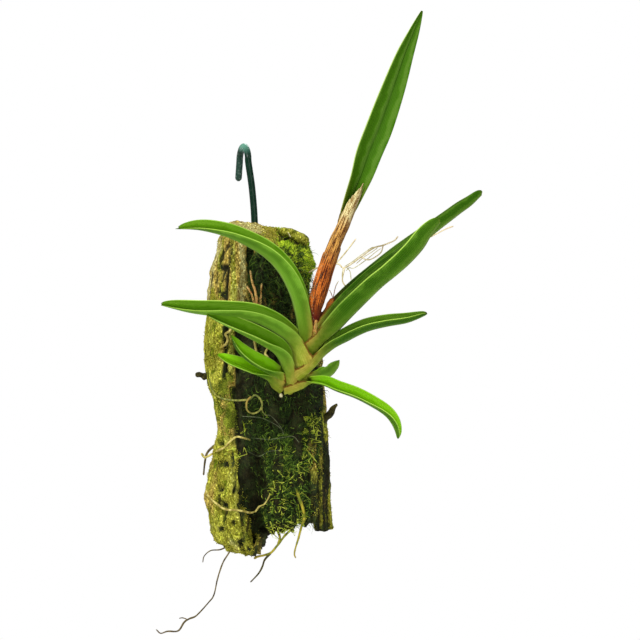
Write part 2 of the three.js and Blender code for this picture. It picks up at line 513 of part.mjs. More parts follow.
// Each bunch is one node, and its runs join. With on, a run's points are places on the front of the bark.
const ROOTS = {
  root_looped: {
    colour: "greenRoot",
    runs: [
      { on: true, radius: 0.55, steps: 28, points: [[-13.4, -91.4, 0.4], [-13, -94.8, 0.6],
        [-11.6, -97.4, 0.8], [-8.6, -99.2, 0.9], [-4, -100, 1.4], [0, -99.9, 3], [2.6, -99.4, 3.4],
        [4.4, -97.9, 3.6], [6.4, -99.2, 3.6], [7.3, -101.6, 3.4], [6.2, -104.2, 3], [3.6, -105.3, 2.6],
        [1.4, -104, 3], [1.1, -101.6, 4.6]] },
      { on: true, radius: 0.6, steps: 6, points: [[7.2, -102.4, 3.2], [7.4, -105.2, 2], [9, -107, 0.8],
        [11, -108.4, -0.6]] },
    ],
  },
  root_pale_left: {
    colour: "paleRoot",
    runs: [
      { on: true, radius: 0.55, steps: 14, points: [[-12.6, -121.4, 0.8], [-9.8, -119.8, 0.8],
        [-7.6, -118.8, 0.8], [-5.4, -116.4, 0.9], [-3, -114.6, 1], [-0.6, -114.9, 1.6], [2, -115.6, 0.6],
        [3.4, -116.2, -0.8]] },
      { radius: 0.5, steps: 4, points: [[-17, -18.4, -121.2], [-15.4, -20, -122.8], [-12.6, -21.8, -121.4]] },
    ],
  },
  root_pale_nose: {
    colour: "paleRoot",
    runs: [{ on: true, radius: 0.6, steps: 17, points: [[-15.2, -135.8, 0.8], [-13.8, -138.6, 0.8],
      [-10.6, -141.4, 0.9], [-7.4, -143.4, 0.9], [-3.4, -143.7, 0.9], [0, -144.2, 1.2], [2.4, -144.8, 2.4],
      [4.6, -144.3, 5], [6.2, -142.4, 6], [8.2, -141.4, 4], [9.8, -139, 0.6], [10.4, -137.4, -0.8]] }],
  },
  root_dark_left: {
    colour: "brownRoot",
    runs: [{ radius: 0.6, steps: 7, points: [[-10.4, -14, -117.6], [-12.8, -15, -119], [-14.8, -15.5, -121.4],
      [-15.6, -15.5, -125], [-16.1, -15, -130]] }],
  },
  root_hanging_right: {
    colour: "greenRoot",
    runs: [{ radius: [[0, 0.7], [0.35, 0.85], [1, 0.45]], steps: 16, points: [[20.6, -23, -134],
      [21.6, -27.6, -137.6], [23.4, -28, -142.4], [24.2, -27, -146.6], [23, -25.6, -150.4], [21.8, -25, -155],
      [20.5, -25, -159.4], [20.2, -25, -161.6], [20.8, -25, -163]] }],
  },
  root_hanging_middle: {
    colour: "greenRoot",
    runs: [
      { radius: [[0, 0.5], [1, 0.45]], steps: 12, points: [[20.8, -17, -148.6], [18.6, -22, -151.8],
        [16.4, -24, -154], [13.6, -25, -157.6], [10.9, -25.6, -160.7], [8, -26, -161.8], [5.4, -26.6, -162.4],
        [4, -26.6, -163.2]] },
      { radius: 0.5, steps: 5, points: [[13.4, -21, -152], [14.4, -23.6, -154.8], [13.6, -25, -157.6]] },
      { radius: [[0, 0.45], [1, 0.35]], steps: 8, points: [[10.9, -25.6, -160.7], [8.4, -25.4, -163.6],
        [7.4, -25, -166.4], [5.8, -24.6, -169.2], [2.6, -24.4, -172.6]] },
    ],
  },
  root_hanging_long: {
    colour: "brownRoot",
    runs: [
      { radius: [[0, 0.5], [1, 0.35]], steps: 22, points: [[-5, -24, -159.5], [-6.4, -24.4, -161.6],
        [-8.4, -24.6, -165], [-10.4, -24.4, -171], [-11.9, -24, -177.6], [-14, -23.4, -180.6],
        [-18.8, -22.6, -185.8], [-21.8, -22, -187.2], [-23.8, -21.6, -188.6], [-26.2, -21, -192],
        [-30.4, -20.6, -192.2], [-33.2, -20.4, -193], [-35, -20.2, -191.4]] },
      { radius: 0.35, steps: 3, points: [[-22.6, -22, -187.4], [-24.4, -22.4, -186.8],
        [-25.8, -22.6, -187]] },
    ],
  },
  root_hanging_short: {
    colour: "brownRoot",
    runs: [{ radius: [[0, 0.45], [1, 0.35]], steps: 8, points: [[-6, -20, -158], [-9.4, -20.6, -159.6],
      [-13.2, -21, -160], [-15.8, -20.6, -162.2], [-16.4, -20.4, -164.8]] }],
  },
  root_upper_spray: {
    colour: "paleRoot",
    runs: [
      { radius: 0.45, steps: 13, points: [[25, -20, -49.4], [31, -25, -46.6], [37.4, -29, -45.6],
        [40.2, -31, -47.2], [46.6, -33, -43], [51.6, -34.6, -39.4], [55.6, -35, -38.2], [59.9, -35.4, -36.4],
        [61.5, -35.4, -34.6]] },
      { radius: 0.4, steps: 9, points: [[40.2, -31, -47.2], [39.4, -31.4, -52.6], [42.6, -31.2, -54.8],
        [50, -31, -49.4], [60, -31.6, -42.4], [72, -32.4, -36.2], [80, -33, -32], [83.6, -33.4, -30.6]] },
      { radius: 0.4, steps: 6, points: [[46.6, -33, -43], [50, -34, -44], [54.4, -34.6, -41.4],
        [55.6, -35, -38.2]] },
      { radius: 0.4, steps: 3, points: [[36.6, -28.6, -45.6], [40, -29.4, -41.8], [44.8, -30, -35.6]] },
    ],
  },
  root_fingers: {
    colour: "rootlet",
    runs: [
      { on: true, radius: 0.6, steps: 6, points: [[0.4, -61.4, -0.5], [2.4, -61.8, 0.6], [5.6, -62, 0.6],
        [7.6, -62, -0.5]] },
      { on: true, radius: [[0, 0.75], [1, 0.45]], steps: 7, points: [[5.6, -62, 0.6], [4.6, -56.6, 0.9],
        [3.4, -52.8, 1.1], [2.6, -48.2, 0.9]] },
      { on: true, radius: [[0, 0.6], [1, 0.4]], steps: 6, points: [[6.8, -62, 0.4], [6.9, -56.6, 0.9],
        [7.2, -53.4, 0.9]] },
      { on: true, radius: [[0, 0.6], [1, 0.4]], steps: 6, points: [[4.4, -62, 0.5], [3, -57.4, 0.9],
        [1.2, -54.7, 0.9]] },
    ],
  },
  root_curled_left: {
    colour: "paleRoot",
    runs: [{ on: true, radius: 0.55, steps: 9, points: [[-5.2, -70.6, -0.6], [-5.4, -72.2, 0.8],
      [-7.2, -73.6, 0.8], [-6.4, -75.6, 0.8], [-7, -77.6, 0.8], [-8.2, -78.4, -0.5]] }],
  },
  root_behind_leaves: {
    colour: "paleRoot",
    runs: [
      { on: true, radius: 0.55, steps: 8, points: [[4.2, -75.4, -0.6], [4.5, -77.4, 0.8], [5, -80, 0.8],
        [6.2, -82.6, 0.8], [8, -84.4, 0.8], [10, -83.4, 0.8]] },
      { on: true, radius: 0.6, steps: 8, points: [[10.2, -78.4, -0.6], [9.4, -79.6, 0.8], [8.6, -81.4, 0.9],
        [10, -83.4, 0.8], [12.2, -85.6, -0.6]] },
    ],
  },
};

const rootSolid = ({ runs }, grow) =>
  join(runs.map(({ on, points, radius, steps }) =>
    tube(on ? points.map(onBark) : points, radius, { sides: 5, steps, grow })));

// Assembly

// Pieces are fitted in order: each is cut clear of all that come before it, which are kept here grown by
// the clearance.
const grownPieces = [];
const group = new THREE.Group();

function place(name, make, colour, roughness, metalness) {
  const full = make(0);
  const clear = grownPieces.reduce((left, grown) => left.subtract(grown), full);
  grownPieces.push(make(CLEARANCE).add(full));
  const mesh = new THREE.Mesh(geometryOf(largest(clear)), material(colour, roughness, metalness));
  mesh.name = name;
  group.add(mesh);
}

const hook = (grow) => tube(hookPoints(), wireRadius, { sides: 9, steps: 30, grow });
const twig = ({ points, radius }, grow) => tube(points, radius, { sides: 6, steps: 4, grow });

place("wire_hook", hook, "wire", 0.45);
place("bark_slab", (grow) => join([slabSolid(grow), ...TWIGS.map((each) => twig(each, grow))]), "bark", 0.95);
place("leaf_base_stem", stemSolid, "leafBase", 0.5);
place("papery_shoot_sheath", shootSolid, "papery", 0.7);
place("tall_leaf", (grow) => leafSolid(TALL_LEAF, grow), "tallLeaf", 0.45);
for (const [name, leaf] of Object.entries(LEAVES))
  place(name, (grow) => leafSolid(leaf, grow), "leaf", 0.45);
for (const [name, root] of Object.entries(ROOTS))
  place(name, (grow) => rootSolid(root, grow), root.colour, 0.8);

export default group;
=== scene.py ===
# %% [markdown]
# # An orchid on a slab of mossy bark
#
# A small orchid grows on a slab of bark that hangs from a coated wire hook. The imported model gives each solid
# its place: the hook, the slab, a fan of folded leaves on their clasping bases, a papery shoot with one tall
# leaf, and the roots. Those solids are plain, so in this lesson each gets a finer surface that keeps its form
# and hides it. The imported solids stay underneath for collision.

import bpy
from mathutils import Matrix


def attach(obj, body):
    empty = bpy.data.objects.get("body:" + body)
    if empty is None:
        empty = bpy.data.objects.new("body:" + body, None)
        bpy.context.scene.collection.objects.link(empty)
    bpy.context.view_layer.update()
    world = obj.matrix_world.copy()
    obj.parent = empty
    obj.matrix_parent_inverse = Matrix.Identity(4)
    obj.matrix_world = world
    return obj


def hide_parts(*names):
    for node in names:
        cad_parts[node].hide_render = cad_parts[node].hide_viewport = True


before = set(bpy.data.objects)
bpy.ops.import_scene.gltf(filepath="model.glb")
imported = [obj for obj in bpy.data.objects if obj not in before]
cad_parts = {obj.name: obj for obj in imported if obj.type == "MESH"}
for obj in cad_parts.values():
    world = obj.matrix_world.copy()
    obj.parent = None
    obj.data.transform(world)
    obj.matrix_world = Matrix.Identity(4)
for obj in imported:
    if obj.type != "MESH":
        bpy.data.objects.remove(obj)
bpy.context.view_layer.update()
print("packed solids:", len(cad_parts))

# %% [markdown]
# ## Numbers, curves and noise
#
# Every shape below is an array of points worked out at once. Three helpers do most of it: `along` reads a
# value off a row of pairs, `through` draws a smooth curve through points, and `noise` gives the unevenness of
# things that grow. They could come from Blender's own curves and textures, but arrays keep each formula in
# sight, and the same formula can then also place moss or paint a colour.

import bpy
import numpy as np
from mathutils import Vector

MM = 0.001  # sizes are written in millimetres, and Blender counts in metres
rng = np.random.default_rng(11)


def smooth(x, start, end):
    """0 before start, 1 after end, and between them an S-shaped step: 3q^2 - 2q^3."""
    q = np.clip((x - start) / (end - start), 0, 1)
    return q * q * (3 - 2 * q)


def bell(x, centre, width):
    """A bell: e to the minus square of the distance from its centre, in widths."""
    return np.exp(-(((x - centre) / width) ** 2))


def along(pairs, at):
    """A value read off [place, value] pairs, with an S-shaped step from each pair to the next."""
    places, values = np.array(pairs, float).T
    i = np.clip(np.searchsorted(places, at) - 1, 0, len(places) - 2)
    return values[i] + (values[i + 1] - values[i]) * smooth(at, places[i], places[i + 1])


def unit(vectors):
    """Each vector over its own length."""
    return vectors / np.maximum(np.linalg.norm(vectors, axis=-1, keepdims=True), 1e-9)


def dot(a, b):
    """Each row's a times b, kept as a column."""
    return np.sum(a * b, axis=-1, keepdims=True)


def circle(steps):
    """Angles once round, in equal steps."""
    return np.linspace(0, 2 * np.pi, steps, endpoint=False)


def stretches(points):
    """The length from each point to the next."""
    return np.linalg.norm(np.diff(points, axis=0), axis=1)


print("halfway up a step:", float(smooth(0.5, 0, 1)))
print("one width off a bell:", round(float(bell(1, 0, 1)), 3))


# %% Curves through points
def through(places, points, at):
    """A smooth curve: between two points, cubic weights mix both of them with the slopes there, and each
    slope is that of the line between the two neighbours."""
    places, points, at = (np.asarray(values, float) for values in (places, points, at))
    slopes = np.gradient(points, places, axis=0)
    i = np.clip(np.searchsorted(places, at, side="right") - 1, 0, len(places) - 2)
    gap = (places[i + 1] - places[i])[..., None]
    q = np.clip((at - places[i])[..., None] / gap, 0, 1)
    start = (1 + 2 * q) * (1 - q) ** 2 * points[i] + q * (1 - q) ** 2 * gap * slopes[i]
    end = q * q * (3 - 2 * q) * points[i + 1] - q * q * (1 - q) * gap * slopes[i + 1]
    return start + end


def evenly(points, shares):
    """Points of a curve at shares of its length, and its direction there. The length is summed over a finely
    cut copy, and each share is looked up in that sum."""
    knots = np.arange(len(points))
    last = len(points) - 1
    fine = np.linspace(0, last, 40 * len(points))
    walked = np.concatenate([[0], np.cumsum(stretches(through(knots, points, fine)))])
    at = np.interp(np.asarray(shares) * walked[-1], walked, fine)
    nudge = 1e-3
    ahead = through(knots, points, np.minimum(at + nudge, last))
    behind = through(knots, points, np.maximum(at - nudge, 0))
    return through(knots, points, at), unit(ahead - behind)


print("halfway round a corner:", evenly([[0, 0, 0], [4, 0, 0], [4, 0, 4]], [0.5])[0].round(2).tolist())


# %% Noise on a lattice
def corner_value(cells, seed):
    """A number from 0 to 1 for each whole-numbered cell: its coordinates times large odd numbers, with the
    high bits folded on to the low ones."""
    x, y, z = (cells[..., k].astype(np.uint32) for k in range(3))
    mixed = x * np.uint32(374761393) + y * np.uint32(668265263) + z * np.uint32(2246822519) + np.uint32(seed)
    mixed = (mixed ^ (mixed >> np.uint32(13))) * np.uint32(1274126177)
    return ((mixed ^ (mixed >> np.uint32(16))) & np.uint32(0xFFFF)) / 0xFFFF


def noise(points, size, seed=0):
    """Value noise from -1 to 1: a random value at each corner of a lattice with cells of this size, and
    S-shaped steps between the corners."""
    spots = np.asarray(points) / size
    cell = np.floor(spots)
    share = smooth(spots - cell, 0, 1)
    total = 0
    for corner in np.ndindex(2, 2, 2):
        weight = np.prod(np.where(corner, share, 1 - share), axis=-1)
        total = total + weight * corner_value(cell.astype(np.int64) + corner, seed)
    return 2 * total - 1


def layered(points, size, layers, seed=0):
    """Noise on noise: each layer half as large and half as strong as the one before."""
    return sum(noise(points, size / 2**k, seed + k) / 2**k for k in range(layers))


def upright(points, share, size, layers, seed):
    """Layered noise drawn out upright, because only this share of a spot's height counts."""
    return layered(points * [1, 1, share], size, layers, seed)


print("noise at the origin:", round(float(noise(np.zeros((1, 3)), 5)[0]), 3))

# %% [markdown]
# ## Surfaces from rings
#
# Almost all here is a skin drawn over rings of points, closed at both ends: a leaf, a root, the bark. Blender
# can also skin a curve by itself, but a leaf's section isn't round and changes all the way, so the rings are
# worked out and the triangles between them are numbered in one step. A body is kept as its points, its
# triangles and its marks. A mark is a number at each point, such as how far along the leaf it is, and the
# finishes read it.


# %% Bodies of points, triangles and marks
def grid_triangles(rows, cols):
    """Two triangles for each square of a grid of points whose last column joins its first."""
    row = np.arange(rows - 1)[:, None] * cols
    here, there = np.arange(cols), (np.arange(cols) + 1) % cols
    a, b, c, d = row + here, row + there, row + cols + there, row + cols + here
    return np.stack([a, b, c, a, c, d], -1).reshape(-1, 3)


def skin(rings, **marks):
    """A closed surface over rings, with a fan of triangles to the middle of both end rings. Its volume is
    summed from the tetrahedra between its triangles and the origin, and where that is negative the surface is
    inside out and all its triangles are turned round."""
    rows, cols = rings.shape[:2]
    points = np.concatenate([rings.reshape(-1, 3), rings[:1].mean(1), rings[-1:].mean(1)])
    here, there = np.arange(cols), (np.arange(cols) + 1) % cols
    last_row = (rows - 1) * cols
    foot = np.stack([np.full(cols, rows * cols), there, here], -1)
    head = np.stack([np.full(cols, rows * cols + 1), last_row + here, last_row + there], -1)
    triangles = np.concatenate([grid_triangles(rows, cols), foot, head])
    a, b, c = (points[triangles[:, k]] for k in range(3))
    if np.sum(a * np.cross(b, c)) < 0:
        triangles = triangles[:, ::-1]
    ended = {}
    for name, values in marks.items():
        spread = np.broadcast_to(values, (rows, cols))
        ended[name] = np.concatenate([spread.ravel(), [spread[0].mean(), spread[-1].mean()]])
    return {"points": points, "triangles": triangles, "marks": ended}


def gathered(bodies):
    """Several bodies as one: the triangles of each count on from the points of those before it."""
    starts = np.cumsum([0] + [len(body["points"]) for body in bodies[:-1]])
    marks = {}
    for name in bodies[0]["marks"]:
        marks[name] = np.concatenate([body["marks"][name] for body in bodies])
    return {
        "points": np.concatenate([body["points"] for body in bodies]),
        "triangles": np.concatenate([body["triangles"] + start for body, start in zip(bodies, starts)]),
        "marks": marks,
    }


print("triangles of a closed tube of 3 rings with 8 points:", len(skin(np.zeros((3, 8, 3)))["triangles"]))


# %% Pipes round a curve
def pipe(line, radius, rows, sides, reference=(0.05, 1, 0.03), lumps=0.0, seed=0, **marks):
    """A round pipe: at each row a circle across the curve, with its radius read off pairs over the share of
    length, domed at both ends and made lumpy by noise."""
    shares = np.linspace(0, 1, rows)
    centre, forward = evenly(line, shares)
    across = unit(np.cross(forward, reference))
    above = np.cross(across, forward)
    turn = circle(sides)[None, :, None]
    ring = across[:, None] * np.cos(turn) + above[:, None] * np.sin(turn)
    pairs = radius if isinstance(radius, list) else [[0, radius], [1, radius]]
    wide = along(pairs, shares)
    from_end = np.minimum(shares, 1 - shares) * stretches(centre).sum() / wide
    wide = wide * np.sqrt(1 - (1 - np.clip(from_end, 0.05, 1)) ** 2)
    spots = centre[:, None] + ring * wide[:, None, None]
    swell = 1 + lumps * noise(spots, 1.6, seed) if lumps else np.ones(spots.shape[:2])
    return skin(centre[:, None] + ring * (wide[:, None] * swell)[..., None], along=shares[:, None], **marks)


print("points of a pipe with 5 rows of 8:", len(pipe([[0, 0, 0], [0, 0, 9]], 1.0, 5, 8)["points"]))

# %% [markdown]
# ## Finishes
#
# A finish is a node material. Building one by hand in the shader editor is quick, but here the patterns
# follow marks of the mesh, and many finishes share their steps. So shader maths is written as plain Python: a
# `Value` wraps a socket, and adding or multiplying values adds the Math nodes. Only what changes over the
# surface is linked, and a number that is the same all over is set on the shader itself.


# %% A value that does shader maths
class Value:
    """A socket of a finish. Sums, products and the like of values add Math nodes."""

    def __init__(self, finish, socket):
        self.finish = finish
        self.socket = socket

    def maths(self, operation, *inputs):
        return self.finish.node("Math", {"operation": operation}, dict(enumerate(inputs)))

    def __add__(self, other):
        return self.maths("ADD", self, other)

    __radd__ = __add__

    def __sub__(self, other):
        return self.maths("SUBTRACT", self, other)

    def __rsub__(self, other):
        return self.maths("SUBTRACT", other, self)

    def __mul__(self, other):
        return self.maths("MULTIPLY", self, other)

    __rmul__ = __mul__

    def __abs__(self):
        return self.maths("ABSOLUTE", self)

    def sine(self):
        return self.maths("SINE", self)


# %% A finish and its nodes
def colour(red, green, blue):
    """A colour as the eye reads it off a screen, 0 to 255, as the amounts of light that Blender mixes."""
    share = np.array([red, green, blue]) / 255
    light = np.where(share <= 0.04045, share / 12.92, ((share + 0.055) / 1.055) ** 2.4)
    return (*(float(amount) for amount in light), 1.0)


class Finish:
    """A node material round one Principled shader, whose steady numbers are given by name."""

    def __init__(self, name, **steady):
        self.material = bpy.data.materials.new(name)
        self.material.use_nodes = True
        self.nodes = self.material.node_tree.nodes
        self.shader = self.nodes["Principled BSDF"]
        for socket, number in steady.items():
            self.shader.inputs[socket.replace("_", " ")].default_value = number

    def put(self, socket, value):
        if isinstance(value, Value):
            self.material.node_tree.links.new(value.socket, socket)
        else:
            socket.default_value = value

    def node(self, kind, settings=None, values=None, output=0):
        """Any node: its settings first, then the numbers or links of its sockets."""
        made = self.nodes.new("ShaderNode" + kind)
        for name, setting in (settings or {}).items():
            setattr(made, name, setting)
        for socket, value in (values or {}).items():
            self.put(made.inputs[socket], value)
        return Value(self, made.outputs[output])

    def mark(self, name):
        """A mark of the mesh: one number at each point."""
        return self.node("Attribute", {"attribute_name": name}, output=2)

    def place(self, stretch=(1, 1, 1)):
        """Where a spot lies on the object, in millimetres, with each direction stretched."""
        spot = self.node("TexCoord", output=3)
        scale = tuple(each / MM for each in stretch)
        return self.node("VectorMath", {"operation": "MULTIPLY"}, {0: spot, 1: scale})

    def grain(self, size, detail=2.0, stretch=(1, 1, 1)):
        """Cloudy noise whose lumps are this many millimetres across, from 0 to 1."""
        values = {"Vector": self.place(stretch), "Scale": 1 / size, "Detail": detail}
        return self.node("TexNoise", {}, values)

    def cracks(self, size, tall):
        """1 on grains of about this size, packed like cells and stretched upright, and 0 in the cracks. Noise
        shifts each spot a little, so that the cell walls don't run straight."""
        values = {"Vector": self.place(), "Scale": 1.4 / size, "Detail": 2.0}
        drift = self.node("TexNoise", {}, values, output=1)
        shift = self.node("VectorMath", {"operation": "SCALE"}, {0: drift, "Scale": size * 0.9})
        spot = self.node("VectorMath", {"operation": "ADD"}, {0: self.place((1, 1, tall)), 1: shift})
        cells = self.node("TexVoronoi", {"feature": "DISTANCE_TO_EDGE"}, {"Vector": spot, "Scale": 1 / size})
        return self.rise(cells, 0.02, 0.16)

    def rise(self, value, start, end):
        """0 before start, 1 after end, with an S-shaped step."""
        settings = {"interpolation_type": "SMOOTHSTEP"}
        return self.node("MapRange", settings, {0: value, 1: start, 2: end, 3: 0.0, 4: 1.0})

    def blend(self, share, first, second):
        """From the first colour to the second by a share from 0 to 1. A Mix node takes them at its sockets 6
        and 7, and gives the mixed one at output 2."""
        first, second = (colour(*each) if isinstance(each, tuple) else each for each in (first, second))
        return self.node("Mix", {"data_type": "RGBA"}, {0: share, 6: first, 7: second}, output=2)

    def coats(self, base, *coats):
        """Coats of colour, one over the other. Each is its share from 0 to 1 and its colour."""
        for share, shade in coats:
            base = self.blend(share, base, shade)
        return base

    def bump(self, height, depth):
        """Normals tilted as if the surface rose by height times depth in millimetres."""
        return self.node("Bump", {}, {"Strength": 1.0, "Distance": depth * MM, "Height": height})

    def paint(self, **changing):
        """Links what changes over the surface to the shader, and gives the material back."""
        for socket, value in changing.items():
            self.put(self.shader.inputs[socket.replace("_", " ")], value)
        return self.material


print("middle grey is this share of full light:", round(colour(128, 128, 128)[0], 3))


# %% Put a body into the scene
made_triangles = {}


def add_piece(name, body, material, replaces=()):
    """A body as a Blender mesh with its marks as point attributes, riding on the object."""
    mesh = bpy.data.meshes.new(name)
    mesh.from_pydata((body["points"] * MM).tolist(), [], body["triangles"].tolist(), shade_flat=False)
    for mark, values in body["marks"].items():
        mesh.attributes.new(mark, "FLOAT", "POINT").data.foreach_set("value", values.astype(np.float32))
    mesh.materials.append(material)
    piece = bpy.data.objects.new(name, mesh)
    bpy.context.scene.collection.objects.link(piece)
    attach(piece, "root")
    if replaces:
        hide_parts(*replaces)
    made_triangles[name] = len(body["triangles"])
    return piece


print("pieces so far:", len(made_triangles))

# %% [markdown]
# ## Camera, light and floor
#
# The object was photographed straight on and from far away against plain white, so the camera has a very long
# lens and stands eight metres off. The surround looks white and sheds a weaker soft light, because a fully
# white one would lay a grey film over the dark moss. A large lamp at the upper left makes the glare on the
# leaves, a wide one from the front lights the bark, and a third from behind draws a thin bright edge.

# %% Camera and surround
CAMERA_DISTANCE = 8.0
PICTURE_MIDDLE_X = 0.0304
PICTURE_MIDDLE_Z = -0.068
LONG_LENS = 1125
SURROUND_LIGHT = 0.4

scene = bpy.context.scene
scene.view_settings.view_transform = "Standard"
lens = bpy.data.cameras.new("camera")
lens.lens = LONG_LENS
lens.clip_end = 50
camera = bpy.data.objects.new("camera", lens)
camera.location = (PICTURE_MIDDLE_X, -CAMERA_DISTANCE, PICTURE_MIDDLE_Z)
camera.rotation_euler = (np.pi / 2, 0, 0)
scene.collection.objects.link(camera)
scene.camera = camera
surround = bpy.data.worlds.new("light_tent")
surround.use_nodes = True
tent = surround.node_tree
seen = tent.nodes["Background"]
seen.inputs["Color"].default_value = (1, 1, 1, 1)
shed = tent.nodes.new("ShaderNodeBackground")
shed.inputs["Color"].default_value = (1, 1, 1, 1)
shed.inputs["Strength"].default_value = SURROUND_LIGHT
which = tent.nodes.new("ShaderNodeMixShader")
tent.links.new(tent.nodes.new("ShaderNodeLightPath").outputs["Is Camera Ray"], which.inputs[0])
tent.links.new(shed.outputs[0], which.inputs[1])
tent.links.new(seen.outputs[0], which.inputs[2])
tent.links.new(which.outputs[0], tent.nodes["World Output"].inputs["Surface"])
scene.world = surround
print("the camera sees", round(CAMERA_DISTANCE * lens.sensor_width / LONG_LENS, 3), "m across")


# %% Lamps
OBJECT_MIDDLE = Vector((0.03, -0.03, -0.06))


def lamp(name, place, size, watts):
    """A square area lamp that faces the middle of the object."""
    light = bpy.data.lights.new(name, "AREA")
    light.size = size
    light.energy = watts
    made = bpy.data.objects.new(name, light)
    made.location = place
    aim = OBJECT_MIDDLE - Vector(place)
    made.rotation_euler = aim.to_track_quat("-Z", "Y").to_euler()
    scene.collection.objects.link(made)


lamp("key_lamp", (-1.3, -1.7, 2.0), 0.8, 78)
lamp("front_lamp", (0.9, -3.0, 0.5), 1.6, 36)
lamp("back_lamp", (0.4, 2.2, 1.4), 1.2, 28)

# %% Floor
FLOOR_RADIUS = 3
FLOOR_HEIGHT = -0.3
edge = circle(96)
floor_height = np.full(len(edge), FLOOR_HEIGHT)
floor_points = np.stack([FLOOR_RADIUS * np.cos(edge), FLOOR_RADIUS * np.sin(edge), floor_height], -1)
floor_mesh = bpy.data.meshes.new("floor")
floor_mesh.from_pydata(floor_points.tolist(), [], [list(range(len(edge)))])
floor_finish = Finish("floor_paint", Roughness=0.7, Base_Color=(0.82, 0.82, 0.82, 1))
floor_mesh.materials.append(floor_finish.paint())
floor = bpy.data.objects.new("floor", floor_mesh)
scene.collection.objects.link(floor)
print("the floor lies", -FLOOR_HEIGHT, "m under the hook's crown")

# %% [markdown]
# ## The slab's outline
#
# The slab is a split piece of trunk: rough and ridged towards the viewer, and flat at the back where it was
# split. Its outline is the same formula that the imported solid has: two edges and two ends read off pairs, a
# squared-off round for the section, and long ridges with a furrow between them. Repeating the formula, and
# not the solid's points, lets the fine bark have as many rows and columns as it needs.

# %% The edges of the slab
SLAB_LEFT_EDGE = [
    [-162, -5], [-160, -8.8], [-156, -12.2], [-152, -13.6], [-146, -14], [-139, -16.1], [-130, -14.4],
    [-121, -12.6], [-113, -10.9], [-101, -12.4], [-92, -15], [-78, -16], [-60, -14.9], [-50, -14],
    [-38, -10.8], [-28, -6.4],
]
SLAB_RIGHT_EDGE = [
    [-154, 35.8], [-140, 34.8], [-121, 34], [-104, 33], [-84, 31.6], [-66, 28], [-54, 26.6], [-46, 28.8],
    [-38, 26.4], [-33, 23.6],
]
SLAB_TOP = [[-8, -28.4], [3, -28.8], [12, -31], [20, -32.4], [25, -36], [29, -43]]
SLAB_BOTTOM = [
    [-9, -159], [-5, -161.6], [1, -161.6], [4, -160], [6.2, -156], [11, -153.4], [18, -152.4],
    [22, -149.2], [26, -149.4], [31, -153.2], [36, -153.6],
]
SLAB_MIDDLE_Y = -11
SLAB_BACK_Y = -1
TOP_CREST_Y = -9
FRONT_DEPTH = 18
BACK_BULGE = 12
FRONT_ROUNDNESS = 0.8
BACK_ROUNDNESS = 0.55


def slab_middle(z):
    """x midway between the edges at a height."""
    return (along(SLAB_LEFT_EDGE, z) + along(SLAB_RIGHT_EDGE, z)) / 2


def slab_half(z):
    """Half the way from edge to edge at a height."""
    return (along(SLAB_RIGHT_EDGE, z) - along(SLAB_LEFT_EDGE, z)) / 2


def top_height(x, y):
    """Height of the broken top end: level behind its crest, and sloping down in front of it."""
    slope = 0.32 + 0.42 * smooth(x, 4, 22)
    moss = 1.6 * bell(x, 20, 9) * bell(y, -17, 7)
    lumps = 0.5 * np.sin(0.9 * x + 0.4 * y) * np.sin(0.7 * y)
    return along(SLAB_TOP, x) - slope * np.maximum(0, TOP_CREST_Y - y) + moss + lumps


def bottom_height(x, y):
    """Height of the ragged bottom end, a little higher at the back than at the front."""
    return along(SLAB_BOTTOM, x) + 0.16 * (y + 29) + 0.6 * np.sin(1.1 * x) * np.sin(0.5 * y)


print("the slab is", round(2 * float(slab_half(-90.0)), 1), "mm wide at mid height")


# %% The section of the slab
def bark_relief(s, z):
    """How far the bark stands out of a half-round front, at s from -1 at its left edge to 1 at its right:
    a left ridge, a furrow, a hollow and a right ridge, all bells in s that sway with height."""
    low = smooth(-z, 112, 138)
    sway = 0.05 * np.sin(z / 11)
    left_ridge = (3.4 + 3.8 * low) * bell(s, -0.7 + 0.14 * low + sway, 0.22 + 0.08 * low)
    furrow = -(3.2 + 5.5 * low) * bell(s, -0.3 + 0.1 * low + sway, 0.13)
    hollow = -4.2 * bell(s, 0.15, 0.42) * smooth(-z, 84, 100)
    right_ridge = 2.2 * bell(s, 0.74 + sway, 0.16)
    waist = -2 * bell(z, -110, 12) * bell(s, -0.7, 0.3)
    strips = 0.75 * np.sin(17 * s + 1.4 * np.sin(z / 9)) * bell(s, 0, 0.95)
    scales = 0.6 * np.sin(z / 3.7 + 5 * s) * np.sin(6 * s + z / 17)
    return left_ridge + furrow + hollow + right_ridge + waist + strips + scales


def slab_outline(turn, z):
    """x and y of the slab at a height: a squared-off circle with one power for the front half and one for the
    back, pushed out by the relief in front and cut flat behind."""
    angle = 2 * np.pi * turn
    front = np.sin(angle) >= 0
    cosine = np.cos(angle)
    s = -np.sign(cosine) * np.abs(cosine) ** np.where(front, FRONT_ROUNDNESS, BACK_ROUNDNESS)
    reach = np.abs(np.sin(angle)) ** np.where(front, 0.75, 0.5)
    depth = FRONT_DEPTH + bark_relief(s, z) * smooth(reach, 0, 0.55)
    behind = np.minimum(SLAB_MIDDLE_Y + BACK_BULGE * reach, SLAB_BACK_Y)
    return slab_middle(z) + slab_half(z) * s, np.where(front, SLAB_MIDDLE_Y - depth * reach, behind)


def bark_front(x, z):
    """y of the bark's front at a place that the viewer sees."""
    s = np.clip((x - slab_middle(z)) / slab_half(z), -0.999, 0.999)
    cosine = -np.sign(s) * np.abs(s) ** (1 / FRONT_ROUNDNESS)
    return slab_outline(np.arccos(np.clip(cosine, -1, 1)) / (2 * np.pi), z)[1]


mid_front = bark_front(np.array(10.0), np.array(-90.0))
print("the bark's front at mid height lies at y", round(float(mid_front), 1))

